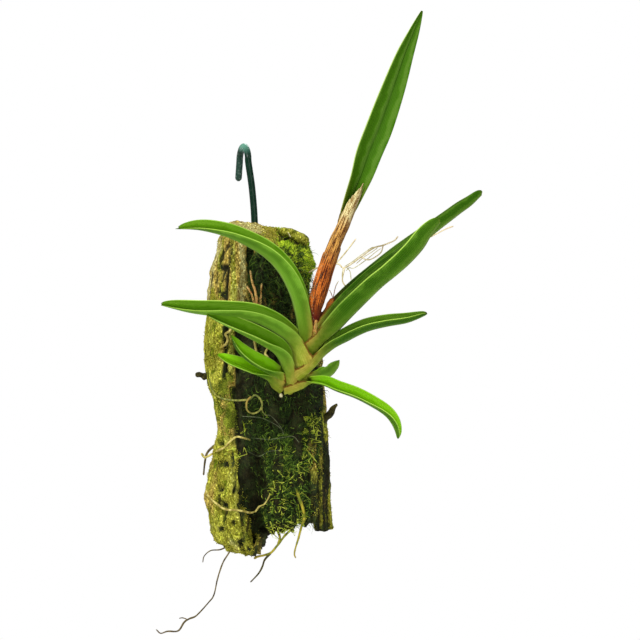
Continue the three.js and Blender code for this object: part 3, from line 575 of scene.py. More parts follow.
# %% [markdown]
# ## Bark
#
# Old bark that has hung wet for years splits into upright strips with dark grooves between them, and its
# surface breaks up into grains. A displacement texture on a plain grid could carve it, but then moss and
# colour wouldn't know where the grooves are. So the depth of each point is worked out here: long streaks of
# noise for the strips, fine noise for the grains, and strokes along the few grooves that the eye remembers.
# The same numbers become marks, which the finish turns into colour, and in the grooves and hollows into
# painted shade.


# %% Strokes and patches on the front
def stroke(x, z, line, width):
    """1 on a line of [x, z] points and fading off it as a bell of this width: the nearest point of each
    segment is found by projection, clipped to the segment's ends."""
    nearest = np.full(np.shape(x), np.inf)
    for (ax, az), (bx, bz) in zip(line[:-1], line[1:]):
        share = ((x - ax) * (bx - ax) + (z - az) * (bz - az)) / ((bx - ax) ** 2 + (bz - az) ** 2)
        share = np.clip(share, 0, 1)
        nearest = np.minimum(nearest, np.hypot(x - ax - share * (bx - ax), z - az - share * (bz - az)))
    return np.exp(-((nearest / width) ** 2))


def patch(x, z, left, right, low, high, soft):
    """1 inside a rectangle and fading out over its soft border."""
    sides = smooth(x, left - soft, left + soft) * smooth(-x, -right - soft, -right + soft)
    return sides * smooth(z, low - soft, low + soft) * smooth(-z, -high - soft, -high + soft)


print("on the edge of a patch:", float(patch(5.0, 0.0, -5, 5, -5, 5, 1)))

# %% Places on the front
# Each has its left, right, low and high border, and how far the border fades to either side, in millimetres.
# The nose is the rounded left foot of the slab, and the flap a tongue of bark at the right of its top.
PLACES = {
    "nose": (-17, 12, -168, -114, 3),
    "nose_lumps": (-16, 6, -162, -114, 4),
    "nose_splits": (-6, 12, -166, -126, 2),
    "right_splits": (25, 37, -160, -112, 2),
    "foot_splits": (3, 26, -160, -136, 3),
    "moss_bed": (13, 34, -62, -24, 3),
    "right_plank": (25, 37, -200, 0, 2),
    "left_algae": (-17, -5, -106, -64, 5),
    "top_algae": (9, 30, -42, -26, 3),
    # The dark places mark painted shade with wet humus.
    "dark_hollow": (3.5, 24, -74, -40, 2.5),
    "dark_middle": (-6, 25, -168, -70, 2),
    "dark_shoulder": (22, 37, -114, -84, 8),
    "dark_furrow": (-8.6, -5, -92, -70, 1.2),
    "dark_waist": (-5, 1, -116, -96, 2),
    "foot_strips": (3, 22, -160, -134, 3),
    "top_moss": (14.6, 30, -44, -24, 2),
    "shoulder_moss": (22, 32, -56, -40, 2),
    "moss_beside_flap": (7, 15, -40, -28, 2),
    "hollow_fronds": (3, 25, -76, -40, 2),
    "tufts": (0, 24, -148, -86, 2),
    "right_tufts": (22, 31, -124, -84, 2),
    "bare_groove": (-1, 9, -150, -120, 1.5),
    "curly_tufts": (9, 26, -148, -112, 2),
}


def at_place(name, x, z):
    """1 inside the place of this name and fading out over its border."""
    return patch(x, z, *PLACES[name])


print("places on the front:", len(PLACES))

# %% Grooves, edges and pits
GROOVES = [
    ([[-5.4, -37], [-6.6, -46], [-7.4, -52], [-6.8, -57], [-7.2, -66], [-7, -80], [-7, -92]], 0.9, 2.4),
    ([[2.6, -36], [2.8, -46], [2.9, -57], [3.6, -66]], 0.9, 2.8),
    ([[-3.6, -96], [-2.6, -106], [-2.2, -118], [-0.4, -128], [2.6, -140], [6.6, -155]], 1.4, 3.4),
    ([[10, -42], [9, -52], [10.4, -62], [9.6, -72]], 1.0, 2.2),
    ([[17.6, -46], [18.4, -56], [17.4, -68]], 0.9, 2.0),
    ([[9, -112], [9.6, -126], [11, -140], [11.6, -152]], 1.0, 2.4),
    ([[16.6, -114], [17.4, -128], [17, -142], [18.6, -152]], 0.9, 2.2),
    ([[24.8, -104], [24.6, -120], [25.6, -136], [25, -144]], 1.0, 2.4),
    ([[29.6, -100], [30.4, -118], [30.8, -138], [31.4, -152]], 0.7, 1.6),
    ([[-11.6, -40], [-11.2, -58], [-12, -74], [-11.4, -88]], 0.5, 0.9),
    ([[5.2, -120], [5.6, -134], [8, -148]], 0.8, 1.5),
    ([[-8.2, -46], [-9.2, -52], [-10.4, -56.6]], 0.5, 1.5),
    ([[-7, -37.6], [-8.2, -41], [-9, -44]], 0.5, 1.3),
    ([[-10.2, -44], [-11.4, -49], [-12, -53]], 0.45, 1.1),
]
FLAP_EDGE = [[14.4, -34.6], [18.5, -35.5], [21.8, -37.2], [24.8, -38.3], [28, -39.4]]
NOSE_EDGE = [[-166, 7.6], [-155, 6.4], [-140, 2.8], [-128, -0.4], [-118, -2.4], [-96, -3.2], [-76, -3.4]]
NOSE_CREST = [[-6.4, -116], [-5.2, -128], [-3.4, -140], [-2.4, -147]]
PITS = [[-8, -125.2, 1.5], [-10, -135.2, 1.4], [-8.8, -142, 1.6], [-10, -151.6, 1.3], [-3.4, -136, 1.2],
        [-8.6, -58, 1.7], [-7.2, -58.4, 1.5], [-9.6, -117, 1.2], [-4.4, -149, 1.3], [-0.8, -156.6, 1.5],
        [-12, -64, 1.1], [-9.4, -47, 1.2]]
PIT_DEPTH = 2.2
print("grooves:", len(GROOVES), "and pits:", len(PITS))


# %% A ring of columns and rows of the slab
FRONT_COLUMNS = 222
BACK_COLUMNS = 40
SIDE_ROWS = 284
END_RINGS = 40
RIM_ROUNDS = 5


def slab_rings():
    """Rings of the slab from the middle of its bottom end, up its sides, to the middle of its top end. The
    rims are found by a few rounds of putting each rim point at the end's height where it stands."""
    front = np.linspace(0, 0.5, FRONT_COLUMNS, endpoint=False)
    turn = np.concatenate([front, np.linspace(0.5, 1, BACK_COLUMNS, endpoint=False)])

    def rim(height):
        z = np.full(len(turn), -90.0)
        for _ in range(RIM_ROUNDS):
            x, y = slab_outline(turn, z)
            z = height(x, y)
        return z

    low, high = rim(bottom_height), rim(top_height)
    share = np.linspace(0, 1, SIDE_ROWS)[:, None]
    z = low + (high - low) * share
    x, y = slab_outline(turn, z)
    sides = np.stack([x, y, z], -1)

    def end(ring, height):
        centre = ring.mean(0)
        q = (np.arange(1, END_RINGS) / END_RINGS)[:, None, None]
        inside = centre + (ring - centre) * q
        inside[..., 2] = height(inside[..., 0], inside[..., 1])
        return inside

    return np.concatenate([end(sides[0], bottom_height), sides, end(sides[-1], top_height)[::-1]])


print("columns round the slab:", FRONT_COLUMNS + BACK_COLUMNS, "and rings:", SIDE_ROWS + 2 * (END_RINGS - 1))


# %% Splits, flap and nose
def upright_splits(rings):
    """1 on narrow upright strips and 0 in the splits between them: noise squeezed sideways, made steep."""
    return smooth(upright(rings, 0.06, 1.6, 3, 61), -0.4, 0.4)


def flap(x, z):
    """1 on the flap of bark at the right of the top end, down to the crack under its edge."""
    return smooth(x, 13, 15) * smooth(z - along(FLAP_EDGE, x), -0.3, 0.5) * smooth(z, -42, -39)


def beside_nose(x, z):
    """How far to the right of the groove that ends the nose a spot lies, in millimetres."""
    return x - along(NOSE_EDGE, z)


def outward(rings):
    """The direction straight out of a grid of rings: its two slopes crossed."""
    up = np.gradient(rings, axis=0)
    round_it = (np.roll(rings, -1, axis=1) - np.roll(rings, 1, axis=1)) / 2
    return unit(np.cross(round_it, up))


def dug(rings, facing):
    """How deep the grooves, the pits, the splits and the crack under the flap are, in millimetres."""
    x, y, z = np.moveaxis(rings, -1, 0)
    deep = sum(depth * stroke(x, z, line, width) for line, width, depth in GROOVES)
    deep = deep + sum(PIT_DEPTH * np.exp(-((x - px) ** 2 + (z - pz) ** 2) / size**2) for px, pz, size in PITS)
    crack = 2.2 * stroke(x, z + 0.3, FLAP_EDGE, 0.5) * smooth(-y, 7, 10)
    nose_splits = at_place("nose_splits", x, z) * bell(beside_nose(x, z), -4, 3)
    splits = at_place("right_splits", x, z) + nose_splits + 0.7 * at_place("foot_splits", x, z)
    return deep * facing + crack + 1.3 * splits * (1 - upright_splits(rings)) * facing


print("at x 20 the flap ends at z", round(float(along(FLAP_EDGE, 20.0)), 1))


# %% Carve the bark
def carved(rings):
    """Moves each point along its normal by streaks, grains, lumps and what is dug out of it. With the rings
    come marks: how hollow the spot is, which the finish paints as shade, how deep it is dug, which becomes
    painted shade in the grooves, and whether it lies on the split back."""
    normal = outward(rings)
    x, y, z = np.moveaxis(rings, -1, 0)
    facing = smooth(-normal[..., 1], -0.1, 0.5)
    back = smooth(normal[..., 1], 0.3, 0.8) * smooth(y, -9, -5)
    bent = rings + 1.4 * noise(rings, 9, 3)[..., None] * [1, 0, 0]
    streaks = upright(bent, 0.16, 3.4, 3, 5)
    ridged = 1 - 2 * np.abs(noise(bent * [1, 1, 0.22], 4.6, 9))
    grains = layered(rings, 1.7, 2, 21)
    nose = at_place("nose_lumps", x, z) * facing
    lumps = (0.5 + 0.6 * nose) * upright(rings, 0.7, 3.6, 2, 31)
    rough = 0.9 * streaks + 0.7 * ridged + 0.5 * grains + lumps
    split_wood = 0.35 * upright(rings, 0.06, 2.2, 2, 41) + 0.1 * grains
    under_moss = 1.2 * at_place("moss_bed", x, z) * (1 - back) * (1 - 0.4 * flap(x, z))
    below_calm = 1 - 0.6 * smooth(-normal[..., 2], 0.5, 0.9)
    edge_calm = 0.55 + 0.45 * facing
    deep = dug(rings, facing)
    bark_lift = 0.8 * rough * below_calm * edge_calm - 0.5
    lift = np.where(back > 0.5, split_wood - 0.35, bark_lift) - deep - under_moss
    # How sunken a spot is: the finish paints shade by it.
    hollow = np.clip(0.5 - 0.3 * rough, 0, 1) * (1 - back) + 0.4 * back
    return rings + normal * lift[..., None], hollow, np.clip(deep / 2.4, 0, 1), back


bark_rings, bark_cavity_shade, bark_deep, bark_back = carved(slab_rings())
print("bark points:", bark_rings.shape[0] * bark_rings.shape[1])

# %% [markdown]
# ### Where the bark is green, tan or black
#
# Algae colour the ridges yellow-green, bare bark shows straw and tan at the top, and the grooves and the
# hollow under the plant are nearly black: wet humus, with painted shade in them. Painted light brightens
# a strip of algae and the nose's crest. An image could carry this, but a few strokes and patches in the
# slab's own measures, broken up by noise, stay sharp at any size.


# %% Paint the bark with marks
LIME_STRIPS = [
    ([[-4.4, -36], [-4.2, -46], [-3.9, -54], [-4.2, -60], [-5, -72], [-5.2, -88]], 1.3),
    ([[-12.8, -62], [-13, -78], [-12.6, -92]], 2.6),
    ([[-8.6, -34], [-9.4, -46], [-8.8, -58]], 1.3),
    ([[-12, -96], [-10.6, -108], [-10.4, -116]], 1.6),
    ([[24, -36], [26.6, -48], [25.4, -60], [27, -76]], 2.2),
    ([[30.4, -132], [30.9, -142], [30.6, -152]], 0.8),
    ([[32, -103], [32.8, -118]], 1.5),
    ([[33.8, -138], [35, -153]], 0.6),
]
TAN_STRIPS = [
    ([[-0.8, -31], [-0.6, -40], [-0.4, -50], [-0.6, -60], [-1.2, -74]], 1.8),
    ([[-7, -30], [-2, -31], [4, -31], [8, -33]], 2.0),
    ([[5.4, -38], [6, -50], [5.6, -60]], 1.0),
    ([[-9, -33], [-12, -44], [-14, -58]], 1.6),
    ([[31, -123.4], [33.4, -121]], 0.5),
]


def bark_marks(rings, deep, back):
    """Marks from 0 to 1: lime for algae, tan for bare bark, dark for wet humus and painted shade, fresh for
    painted light on a strip of algae and the nose's crest, and back for the split side. Each is a sum of
    strokes and places, cut ragged by noise. On the slab's narrow sides noise also moves the heights up and
    down, so that no place ends there in a level line."""
    x, y, z = np.moveaxis(rings, -1, 0)
    ragged = upright(rings, 0.5, 5, 3, 51)
    strip = upright_splits(rings)
    on_side = smooth(np.abs(x - 9), 19, 23)
    z = z + 9 * on_side * layered(rings * [0, 1, 0.2], 5, 2, 57)
    front = 1 - back
    right_of_nose = smooth(beside_nose(x, z), -1.2, 1)
    nose = (1 - right_of_nose) * at_place("nose", x, z)
    right_side = at_place("right_plank", x, z) * smooth(-z, 104, 120)
    painted = sum(stroke(x, z, line, width) for line, width in LIME_STRIPS)
    lime = painted + 0.95 * nose * (1 - 0.4 * smooth(-x, 9.5, 13)) + 0.9 * right_side * strip
    lime = lime + 0.6 * at_place("left_algae", x, z) + 0.9 * at_place("top_algae", x, z)
    lime = smooth(lime + 0.55 * ragged, 0.25, 0.85) * front
    tan = smooth(sum(stroke(x, z, line, width) for line, width in TAN_STRIPS) + 0.5 * ragged, 0.3, 0.8)
    # The dark mark: wet humus, with painted shade in the hollow under the plant and on the right shoulder.
    dark = at_place("dark_hollow", x, z) + 1.6 * right_of_nose * at_place("dark_middle", x, z)
    dark = dark + 1.3 * at_place("dark_shoulder", x, z) * smooth(-y, 8, 22)
    dark = dark + right_side * (1.45 - 0.65 * strip) * smooth(-y, 3, 13)
    # Painted shade on the nose's right flank, and in the furrow and the waist.
    dark = dark + nose * smooth(beside_nose(x, z), -7, -2) * (1 - 0.6 * strip)
    dark = dark + 0.9 * at_place("dark_furrow", x, z) + 0.6 * at_place("dark_waist", x, z)
    # Painted shadow in the crack under the flap's edge.
    dark = dark + 1.6 * stroke(x, z + 0.3, FLAP_EDGE, 0.6)
    lighter = 0.9 * smooth(painted, 0.4, 0.8)
    dark = dark + 0.45 * ragged - lighter - 0.5 * strip * at_place("foot_strips", x, z)
    dark = smooth(dark, 0.35, 0.9) * front
    # Painted shade in the dug grooves and pits: the deeper, the darker.
    dark = np.maximum(dark, smooth(deep, 0.15, 0.6))
    # fresh: painted light on the first lime strip and the nose's crest, brighter algae where lit.
    young = stroke(x, z, *LIME_STRIPS[0]) + 0.75 * stroke(x, z, NOSE_CREST, 2.2)
    fresh = smooth(young + 0.3 * ragged, 0.35, 0.8) * front
    return {"lime": lime, "tan": tan * front, "dark": dark, "back": back, "fresh": fresh}


print("strips of algae:", len(LIME_STRIPS), "and of bare bark:", len(TAN_STRIPS))

# %% The slab with its mossy flap and two twig stubs
TWIGS = [
    ([[-12, -12, -91], [-17.5, -13, -90], [-19.3, -13.5, -89.4]], [[0, 1.6], [0.8, 1.1], [1, 0.7]]),
    ([[30, -14, -110], [34.5, -17, -105], [37.2, -18, -101.4]], [[0, 2.3], [0.6, 1.3], [1, 0.7]]),
]
FLAP_LINE = [[13.4, -12.6, -32.7], [16, -13.2, -32.9], [18.8, -13.6, -33.4], [22, -14, -34.9],
             [24.6, -13.8, -36.2], [25.8, -13.4, -36.9]]
FLAP_RADIUS = [[0, 1.2], [0.2, 1.9], [0.45, 1.9], [0.75, 2.1], [0.95, 1.7], [1, 1.3]]
FLAP_MIDDLE_Y = -13.4
FLAP_WIDENING = 1.6

# The flap and the two stubs take even marks; their hollow mark is painted shade.
flap_plate = pipe(FLAP_LINE, FLAP_RADIUS, 60, 40, lumps=0.1,
                  hollow=0.3, lime=0.95, tan=0.0, dark=0.1, back=0, fresh=0)
flap_y = flap_plate["points"][:, 1]
flap_plate["points"][:, 1] = FLAP_MIDDLE_Y + FLAP_WIDENING * (flap_y - FLAP_MIDDLE_Y)
bark_body = skin(bark_rings, hollow=bark_cavity_shade, **bark_marks(bark_rings, bark_deep, bark_back))
twig_bodies = [
    pipe(line, radius, 26, 14, lumps=0.45, hollow=0.6, lime=0.1, tan=0.1, dark=0.92, back=0, fresh=0)
    for line, radius in TWIGS
]
for added in twig_bodies + [flap_plate]:
    del added["marks"]["along"]
print("bark triangles:", len(bark_body["triangles"]))


# %% The bark's finish
def bark_finish():
    """Wood, and over it algae, straw and, as painted light, brighter algae by the marks. The cracks
    between its grains are darker, the hollows darker still with painted shade, the dark places nearly black
    with humus and painted shade, and the back is bare split wood."""
    finish = Finish("mossy_bark", Specular_IOR_Level=0.12)
    hollow, lime, tan, dark = (finish.mark(name) for name in ("hollow", "lime", "tan", "dark"))
    fine = finish.grain(0.7, 3, (1, 1, 0.6))
    blotch = finish.grain(3.2, 3, (1, 1, 0.6))
    crust = finish.cracks(1.7, 0.5) * finish.cracks(0.9, 0.7)
    bright = finish.rise(fine, 0.33, 0.56)
    wide = finish.rise(finish.grain(6, 2, (1, 1, 0.4)), 0.42, 0.66)
    # Painted shade in the sunken spots, a little less on algae and bare bark.
    cavity_shade = finish.rise(hollow - lime * 0.06 - tan * 0.06, 0.56, 0.8)
    split_wood = finish.blend(finish.grain(1.4, 4, (1, 1, 0.08)), (104, 78, 48), (168, 138, 92))
    algae = finish.coats(
        finish.blend(bright, (134, 140, 2), (248, 250, 92)),
        (finish.rise(blotch, 0.48, 0.66), (104, 132, 2)),
        (wide * 0.4, (92, 104, 4)),
    )
    whole = finish.coats(
        finish.blend(bright, (126, 98, 20), (246, 218, 106)),
        (lime * 0.95, algae),
        (tan, finish.blend(bright, (182, 152, 64), (255, 246, 158))),
        # Painted light on the strip and crest of the fresh mark.
        (finish.mark("fresh") * 0.85, finish.blend(bright, (168, 172, 10), (255, 255, 120))),
        ((1 - crust) * 0.62, (56, 46, 4)),
        (cavity_shade * 0.92, (22, 22, 4)),
        # The dark mark: nearly black wet humus with painted shade.
        (dark * 0.97, finish.blend(finish.rise(blotch, 0.4, 0.7), (12, 17, 8), (42, 54, 26))),
        (finish.mark("back"), split_wood),
    )
    tilt = finish.bump(fine * 0.8 + crust * 0.6 + finish.grain(0.35, 2) * 0.3, 0.6)
    return finish.paint(Base_Color=whole, Roughness=0.92 - dark * 0.25, Normal=tilt)


add_piece("bark", gathered([bark_body, flap_plate] + twig_bodies), bark_finish(), ["bark_slab"])
print("nodes in the bark's finish:", len(bpy.data.materials["mossy_bark"].node_tree.nodes))

# %% [markdown]
# ## The hook
#
# The hook is garden wire in a thin green plastic coat. It could be a curve with a round bevel, and a mesh
# pipe is the same shape with rows that the finish can mark. The coat is glossy, with a painted highlight over
# the crown, and dusty and worn on the short leg.

# %% Bend the wire
WIRE_RADIUS = 1.35
HOOK_BEND_RADIUS = 6.5
HOOK_SIDEWAYS = 1.8
HOOK_LEG_LENGTH = 13.8
BEND_STEPS = 8
bend = np.pi * np.arange(BEND_STEPS + 1) / BEND_STEPS
crown = np.stack([
    HOOK_SIDEWAYS * np.cos(bend),
    -HOOK_BEND_RADIUS * np.cos(bend),
    WIRE_RADIUS - HOOK_BEND_RADIUS + HOOK_BEND_RADIUS * np.sin(bend),
], -1)
shank = [[4.7, -6.5, -53], [4.3, -6.5, -30], [3.3, -6.5, -16]]
leg_end = [[-HOOK_SIDEWAYS - 0.5, HOOK_BEND_RADIUS, WIRE_RADIUS - HOOK_LEG_LENGTH]]
wire = pipe(np.concatenate([shank, crown, leg_end]), WIRE_RADIUS, 120, 24, reference=(1, 0.05, 0))


def wire_finish():
    """A dark green coat with a painted highlight over the crown, and worn and dusty on the short leg."""
    finish = Finish("green_wire_coat", Specular_IOR_Level=0.12)
    place = finish.mark("along")
    leg = finish.rise(place, 0.8, 0.9)
    # Painted highlight over the crown.
    crown_highlight = finish.rise(place, 0.66, 0.75) * (1 - finish.rise(place, 0.76, 0.84))
    dust = finish.rise(finish.grain(1.1, 4), 0.5, 0.7)
    coat = finish.coats(
        finish.blend(finish.grain(4.0), (2, 26, 14), (10, 46, 30)),
        (crown_highlight * 0.8, (104, 166, 142)),
        (leg * 0.8 + dust * 0.12, finish.blend(dust, (40, 66, 56), (92, 112, 100))),
    )
    return finish.paint(Base_Color=coat, Roughness=0.28 + dust * 0.3, Normal=finish.bump(dust, 0.05))


add_piece("hook_wire", wire, wire_finish(), ["wire_hook"])
print("hook triangles:", made_triangles["hook_wire"])

# %% [markdown]
# ## Leaves
#
# The leaves of this orchid are folded along the middle like a sheet of paper, and stand in two rows. Each
# runs down into a sheath that clasps the stem, and an older sheath lies outside a younger one. A leaf could
# be sculpted, or cut from a curved strip, but three lines say all about it: the keel and its two margins.
# Along the blade they come from the fold and the width, as in the imported solid. Along the sheath they are
# given by where the keel and the near margin lie, and `through` joins both.
#
# Sizes are in millimetres and angles in degrees. `keel` holds a leaf's points, and `side` is 1 in the left
# row and -1 in the right one, so that every channel opens upwards. `fold` and `roll` are the half angle of
# the channel and its turn about the keel, at the foot, the middle and the tip. `foot` is the share of the
# width that the foot has, `slim` what the outer half loses, and `taper` where the tip begins. `blunt` and
# `lobe` shape the tip of the near and the far half, and `sheath` and `layer` the part that clasps the stem.
# `line` is how bright both margins are, partly as a painted highlight, `fresh` and `pale` mix the greens,
# `pale` that of the back with its bloom and painted sheen, and `clasp` the sheath's, whose dark green is partly
# painted shade.

# %% The leaves and their sheaths
FAN_NORMAL = np.array([0, -0.8, -0.6])
MIDDLE_OF_LEAF = 0.45
LEAVES = {
    "leaf_left_1": {
        "keel": [[11.2, -35, -92.2], [7.2, -38, -90.2], [2.4, -40, -88.2], [-2.4, -42, -86.2],
                 [-6.4, -43, -84.3], [-10.1, -43, -82]],
        "side": 1, "width": 4.2, "fold": [22, 48, 55], "roll": [0, -14, -20], "foot": 0.75, "taper": 0.3,
        "sheath": [[14, -96.6, 16.6, -94.8], [11.6, -94.8, 16.2, -91.4]],
        "layer": 3.1, "blunt": [0.6, 0.5], "lobe": [0.9, 0.5], "line": [0.8, 0.6],
        "fresh": 1.0, "pale": 0.4, "clasp": 0.6,
    },
    "leaf_left_2": {
        "keel": [[14.8, -39, -90.8], [11, -42, -89.4], [7.2, -45, -87.4], [1.8, -48, -84], [-2.4, -50, -79.6],
                 [-4.9, -51, -74.6]],
        "side": 1, "width": 5.2, "fold": [20, 38, 40], "roll": [0, -14, -20], "foot": 0.75, "taper": 0.3,
        "sheath": [[14.4, -96.4, 16.8, -94.8], [13.8, -93.6, 16.8, -91.6]],
        "layer": 2.8, "blunt": [1.0, 0.6], "lobe": [0.6, 0.5], "line": [0.7, 0.6],
        "fresh": 0.8, "pale": 0.3, "clasp": 0.7,
    },
    "leaf_left_3": {
        "keel": [[16.2, -43, -88], [14.6, -46, -83.7], [12.2, -49, -80.6], [8, -52, -77.8], [1.8, -56, -74.4],
                 [-5, -59, -70.8], [-14.2, -62, -66.2]],
        "side": 1, "width": 6.2, "fold": [14, 30, 42], "roll": [0, -14, -20], "foot": 0.78, "taper": 0.32,
        "sheath": [[18, -96.4, 20.8, -96.4], [16.8, -94, 22.1, -93], [16.5, -91.2, 21.4, -90.8]],
        "layer": 4.4, "blunt": [0.7, 0.5], "lobe": [0.6, 0.8], "line": [0.8, 0.7],
        "fresh": 0.35, "pale": 0.8, "clasp": 0.7,
    },
    "leaf_left_4": {
        "keel": [[19.6, -47, -80.8], [17.9, -49, -76.6], [14.8, -52, -73.8], [9.5, -55, -70.6],
                 [2.8, -57, -67.9], [-7, -59, -66.5], [-19.6, -61, -64.9], [-32.4, -62, -62.2]],
        "side": 1, "width": 6.9, "fold": [14, 26, 34], "roll": [0, 2, -18], "foot": 0.8, "taper": 0.15,
        "sheath": [[21.2, -90.4, 26.8, -84.8], [20.3, -87.6, 27.8, -82.4], [20.1, -84, 26.8, -81.2]],
        "layer": 3.2, "blunt": [0.75, 0.44], "lobe": [0.3, 0.4], "line": [0.6, 0.9],
        "fresh": 0.3, "pale": 0.9, "clasp": 1.0,
    },
    "leaf_left_5": {
        "keel": [[22.2, -50, -71.6], [21, -51, -64.6], [18.7, -53, -57], [14.2, -55, -48.5],
                 [7.4, -56, -41.7], [-3, -56, -36.0], [-10.2, -55, -33.4], [-17.6, -53, -31.9],
                 [-25.2, -51, -31.8]],
        "side": 1, "width": 6.4, "fold": [12, 18, 34], "roll": [0, 1, -9], "foot": 0.86, "taper": 0.2,
        "sheath": [[23.6, -78, 26, -77.2], [22.6, -74.8, 27.6, -72.4]],
        "layer": 0.5, "blunt": [0.9, 0.42], "lobe": [2.2, 0.8], "line": [0.7, 0.6],
        "fresh": 0.35, "pale": 0.6, "clasp": 0.1,
    },
    "leaf_right_1": {
        "keel": [[24.4, -40, -93], [27.2, -42, -92.5], [32.2, -47, -93.5], [37.6, -51, -96], [45, -54, -98.8],
                 [52.3, -57, -102.7], [56.5, -58, -105.6], [59, -58, -108.6], [60.5, -57, -112],
                 [61.1, -55, -114.8]],
        "side": -1, "width": 4.5, "fold": [26, 28, 28], "roll": [-20, -20, -13], "foot": 0.5, "taper": 0.5,
        "sheath": [[16, -95.8, 15.8, -94.6], [18.8, -95.4, 18.4, -93.8], [22, -94.2, 21.6, -92.6]],
        "layer": 5.4, "blunt": [0.6, 0.5], "lobe": [0.4, 0.4], "line": [0.8, 0.6],
        "fresh": 0.85, "pale": 0.4, "clasp": 0.9,
    },
    "leaf_right_2": {
        "keel": [[27.2, -36, -91], [31.2, -35, -91], [34.6, -33.5, -89.6], [36.8, -32, -87],
                 [38.2, -31, -84.4]],
        "side": -1, "width": 4.1, "fold": [18, 22, 24], "roll": [28, 30, 30], "foot": 0.6, "taper": 0.4,
        "sheath": [[22, -94, 21.2, -92], [24.8, -92.4, 23.6, -90]],
        "layer": 2.6, "blunt": [0.6, 0.6], "lobe": [0.4, 0.4], "line": [0.2, 0.2],
        "fresh": 0.5, "pale": 0.6, "clasp": 0.5,
    },
    "leaf_right_3": {
        "keel": [[30.6, -46, -82.8], [36, -49, -78.6], [41, -51.5, -76], [45.6, -53.5, -73.6],
                 [50.6, -55, -71.6], [57.4, -57, -70], [64.2, -58, -68.8], [68.8, -58, -67.4],
                 [72.6, -58, -65.8]],
        "side": -1, "width": 4.8, "fold": [24, 26, 26], "roll": [0, 0, 0], "foot": 0.84, "taper": 0.3,
        "layer": 4.0, "blunt": [0.4, 0.4], "lobe": [0.6, 0.5], "line": [0.8, 0.4],
        "fresh": 0.2, "pale": -0.1, "clasp": 0.9,
        "sheath": [[22.4, -94.8, 18.8, -89.6], [24, -92, 20.2, -87.8], [26, -88.8, 22.6, -86.6],
                   [28.8, -85.6, 25.2, -84.6]],
    },
    "leaf_right_4": {
        "keel": [[32.3, -52, -75.8], [36.8, -54, -72.3], [43.5, -57, -65.4], [53.8, -60, -55.2],
                 [60.3, -61, -49.8], [65.6, -62, -45.1], [70.6, -62.5, -39.6], [74.3, -63, -34],
                 [78.1, -63, -29.1]],
        "side": -1, "width": 8.5, "fold": [14, 26, 30], "roll": [4, 8, 26], "foot": 0.8, "taper": 0.3,
        "layer": 1.3, "blunt": [0.3, 0.4], "lobe": [1.0, 0.1], "line": [0.85, 0.1],
        "fresh": 0.05, "pale": 0.15, "clasp": 0.3,
        "sheath": [[25.6, -84.8, 23.2, -80], [28, -82, 24.8, -76.8], [30, -79, 27.4, -74.8]],
    },
    "leaf_right_5": {
        "keel": [[33.6, -48, -69], [42.4, -45, -60.6], [54.4, -43, -50.6], [66.2, -42, -40.8],
                 [76.2, -41, -32.6], [85, -40, -25.8], [90.6, -39.5, -21.9], [94.9, -39, -17.8]],
        "side": -1, "width": 6, "fold": [12, 20, 26], "roll": [0, 24, 26], "foot": 0.95, "taper": 0.86,
        "slim": 0.34, "sheath": [[29.6, -75.2, 28, -73.6], [31.6, -72, 29.2, -69.6]],
        "layer": 1.3, "blunt": [0.3, 0.3], "lobe": [0.8, 0.8], "line": [0.0, 0.3],
        "fresh": 0.0, "pale": -0.2, "clasp": 0.1,
    },
}
TALL_LEAF = {
    "keel": [[39.7, -46.6, -27], [43.9, -46, -16.8], [47, -45.4, -9.2], [50.3, -44.2, 0.1],
             [54.5, -42.8, 10.4], [59.6, -40.6, 24.8], [64.2, -38.6, 38.4], [67.6, -37.4, 46.8],
             [71, -36.4, 55.1]],
    "side": 1, "width": 5.9, "fold": [40, 64, 62], "roll": [-96, -102, -94], "foot": 0.8, "taper": 0.34,
    "layer": 0.4, "blunt": [0.8, 0.8], "lobe": [0, 0], "line": [0.9, 0.0],
    "fresh": 0.3, "pale": 0.4, "clasp": 0.0,
    "neck": [[38.3, -49.2, -34], [36.2, -50.2, -34], [39.2, -50, -34.4]],
}
print("leaves:", len(LEAVES) + 1)


# %% Keel and margins of a blade
def turned(vectors, axes, angles):
    """Vectors turned about axes by angles: the part along the axis stays, and the part across it swings."""
    cosine, sine = np.cos(angles)[:, None], np.sin(angles)[:, None]
    return vectors * cosine + np.cross(axes, vectors) * sine + axes * dot(axes, vectors) * (1 - cosine)


def blade_lines(leaf, t):
    """Keel, near margin and far margin at shares of the blade's length. The channel opens across the fan's
    plane and is rolled about the keel; each margin lies the blade's half width away, at the fold's angle.
    The half width grows from the foot, may slim in the outer half, and beyond the taper falls to 0 at the
    tip as a power of 1 - q^2."""
    centre, forward = evenly(leaf["keel"], t)

    def on_leaf(values):
        return np.radians(along([[0, values[0]], [MIDDLE_OF_LEAF, values[1]], [1, values[2]]], t))

    opens = unit(np.cross(forward, FAN_NORMAL)) * leaf["side"]
    opens = turned(opens, forward, leaf["side"] * on_leaf(leaf["roll"]))
    nearer = -leaf["side"] * np.cross(forward, opens)
    opening = leaf["foot"] + (1 - leaf["foot"]) * smooth(t, 0, 0.3)
    opening = opening * (1 - leaf.get("slim", 0) * smooth(t, 0.4, 0.85))
    past = np.clip((t - leaf["taper"]) / (1.012 - leaf["taper"]), 0, 1)
    falls = [(1 - past**2) ** power for power in leaf["blunt"]]
    near_width, far_width = ((leaf["width"] * opening * fall)[:, None] for fall in falls)
    half = on_leaf(leaf["fold"])[:, None]
    up, out = opens * np.cos(half), nearer * np.sin(half)
    return centre, centre + (up + out) * near_width, centre + (up - out) * far_width


large_keel, large_near, large_far = blade_lines(LEAVES["leaf_right_4"], np.linspace(0, 1, 30))
print("the large leaf's keel is", round(float(stretches(large_keel).sum())), "mm long")
print("folded, it is", round(float(np.linalg.norm(large_near - large_far, axis=1).max()), 1), "mm across")

# %% Keel and margins from the sheath's foot to the leaf's tip
STEM_DEPTH = [[-97, -31], [-95, -33], [-93, -36], [-91, -38], [-86.4, -42], [-81.6, -46], [-77.2, -49],
              [-72.6, -51], [-66, -52]]
BLADE_FROM = 0.1


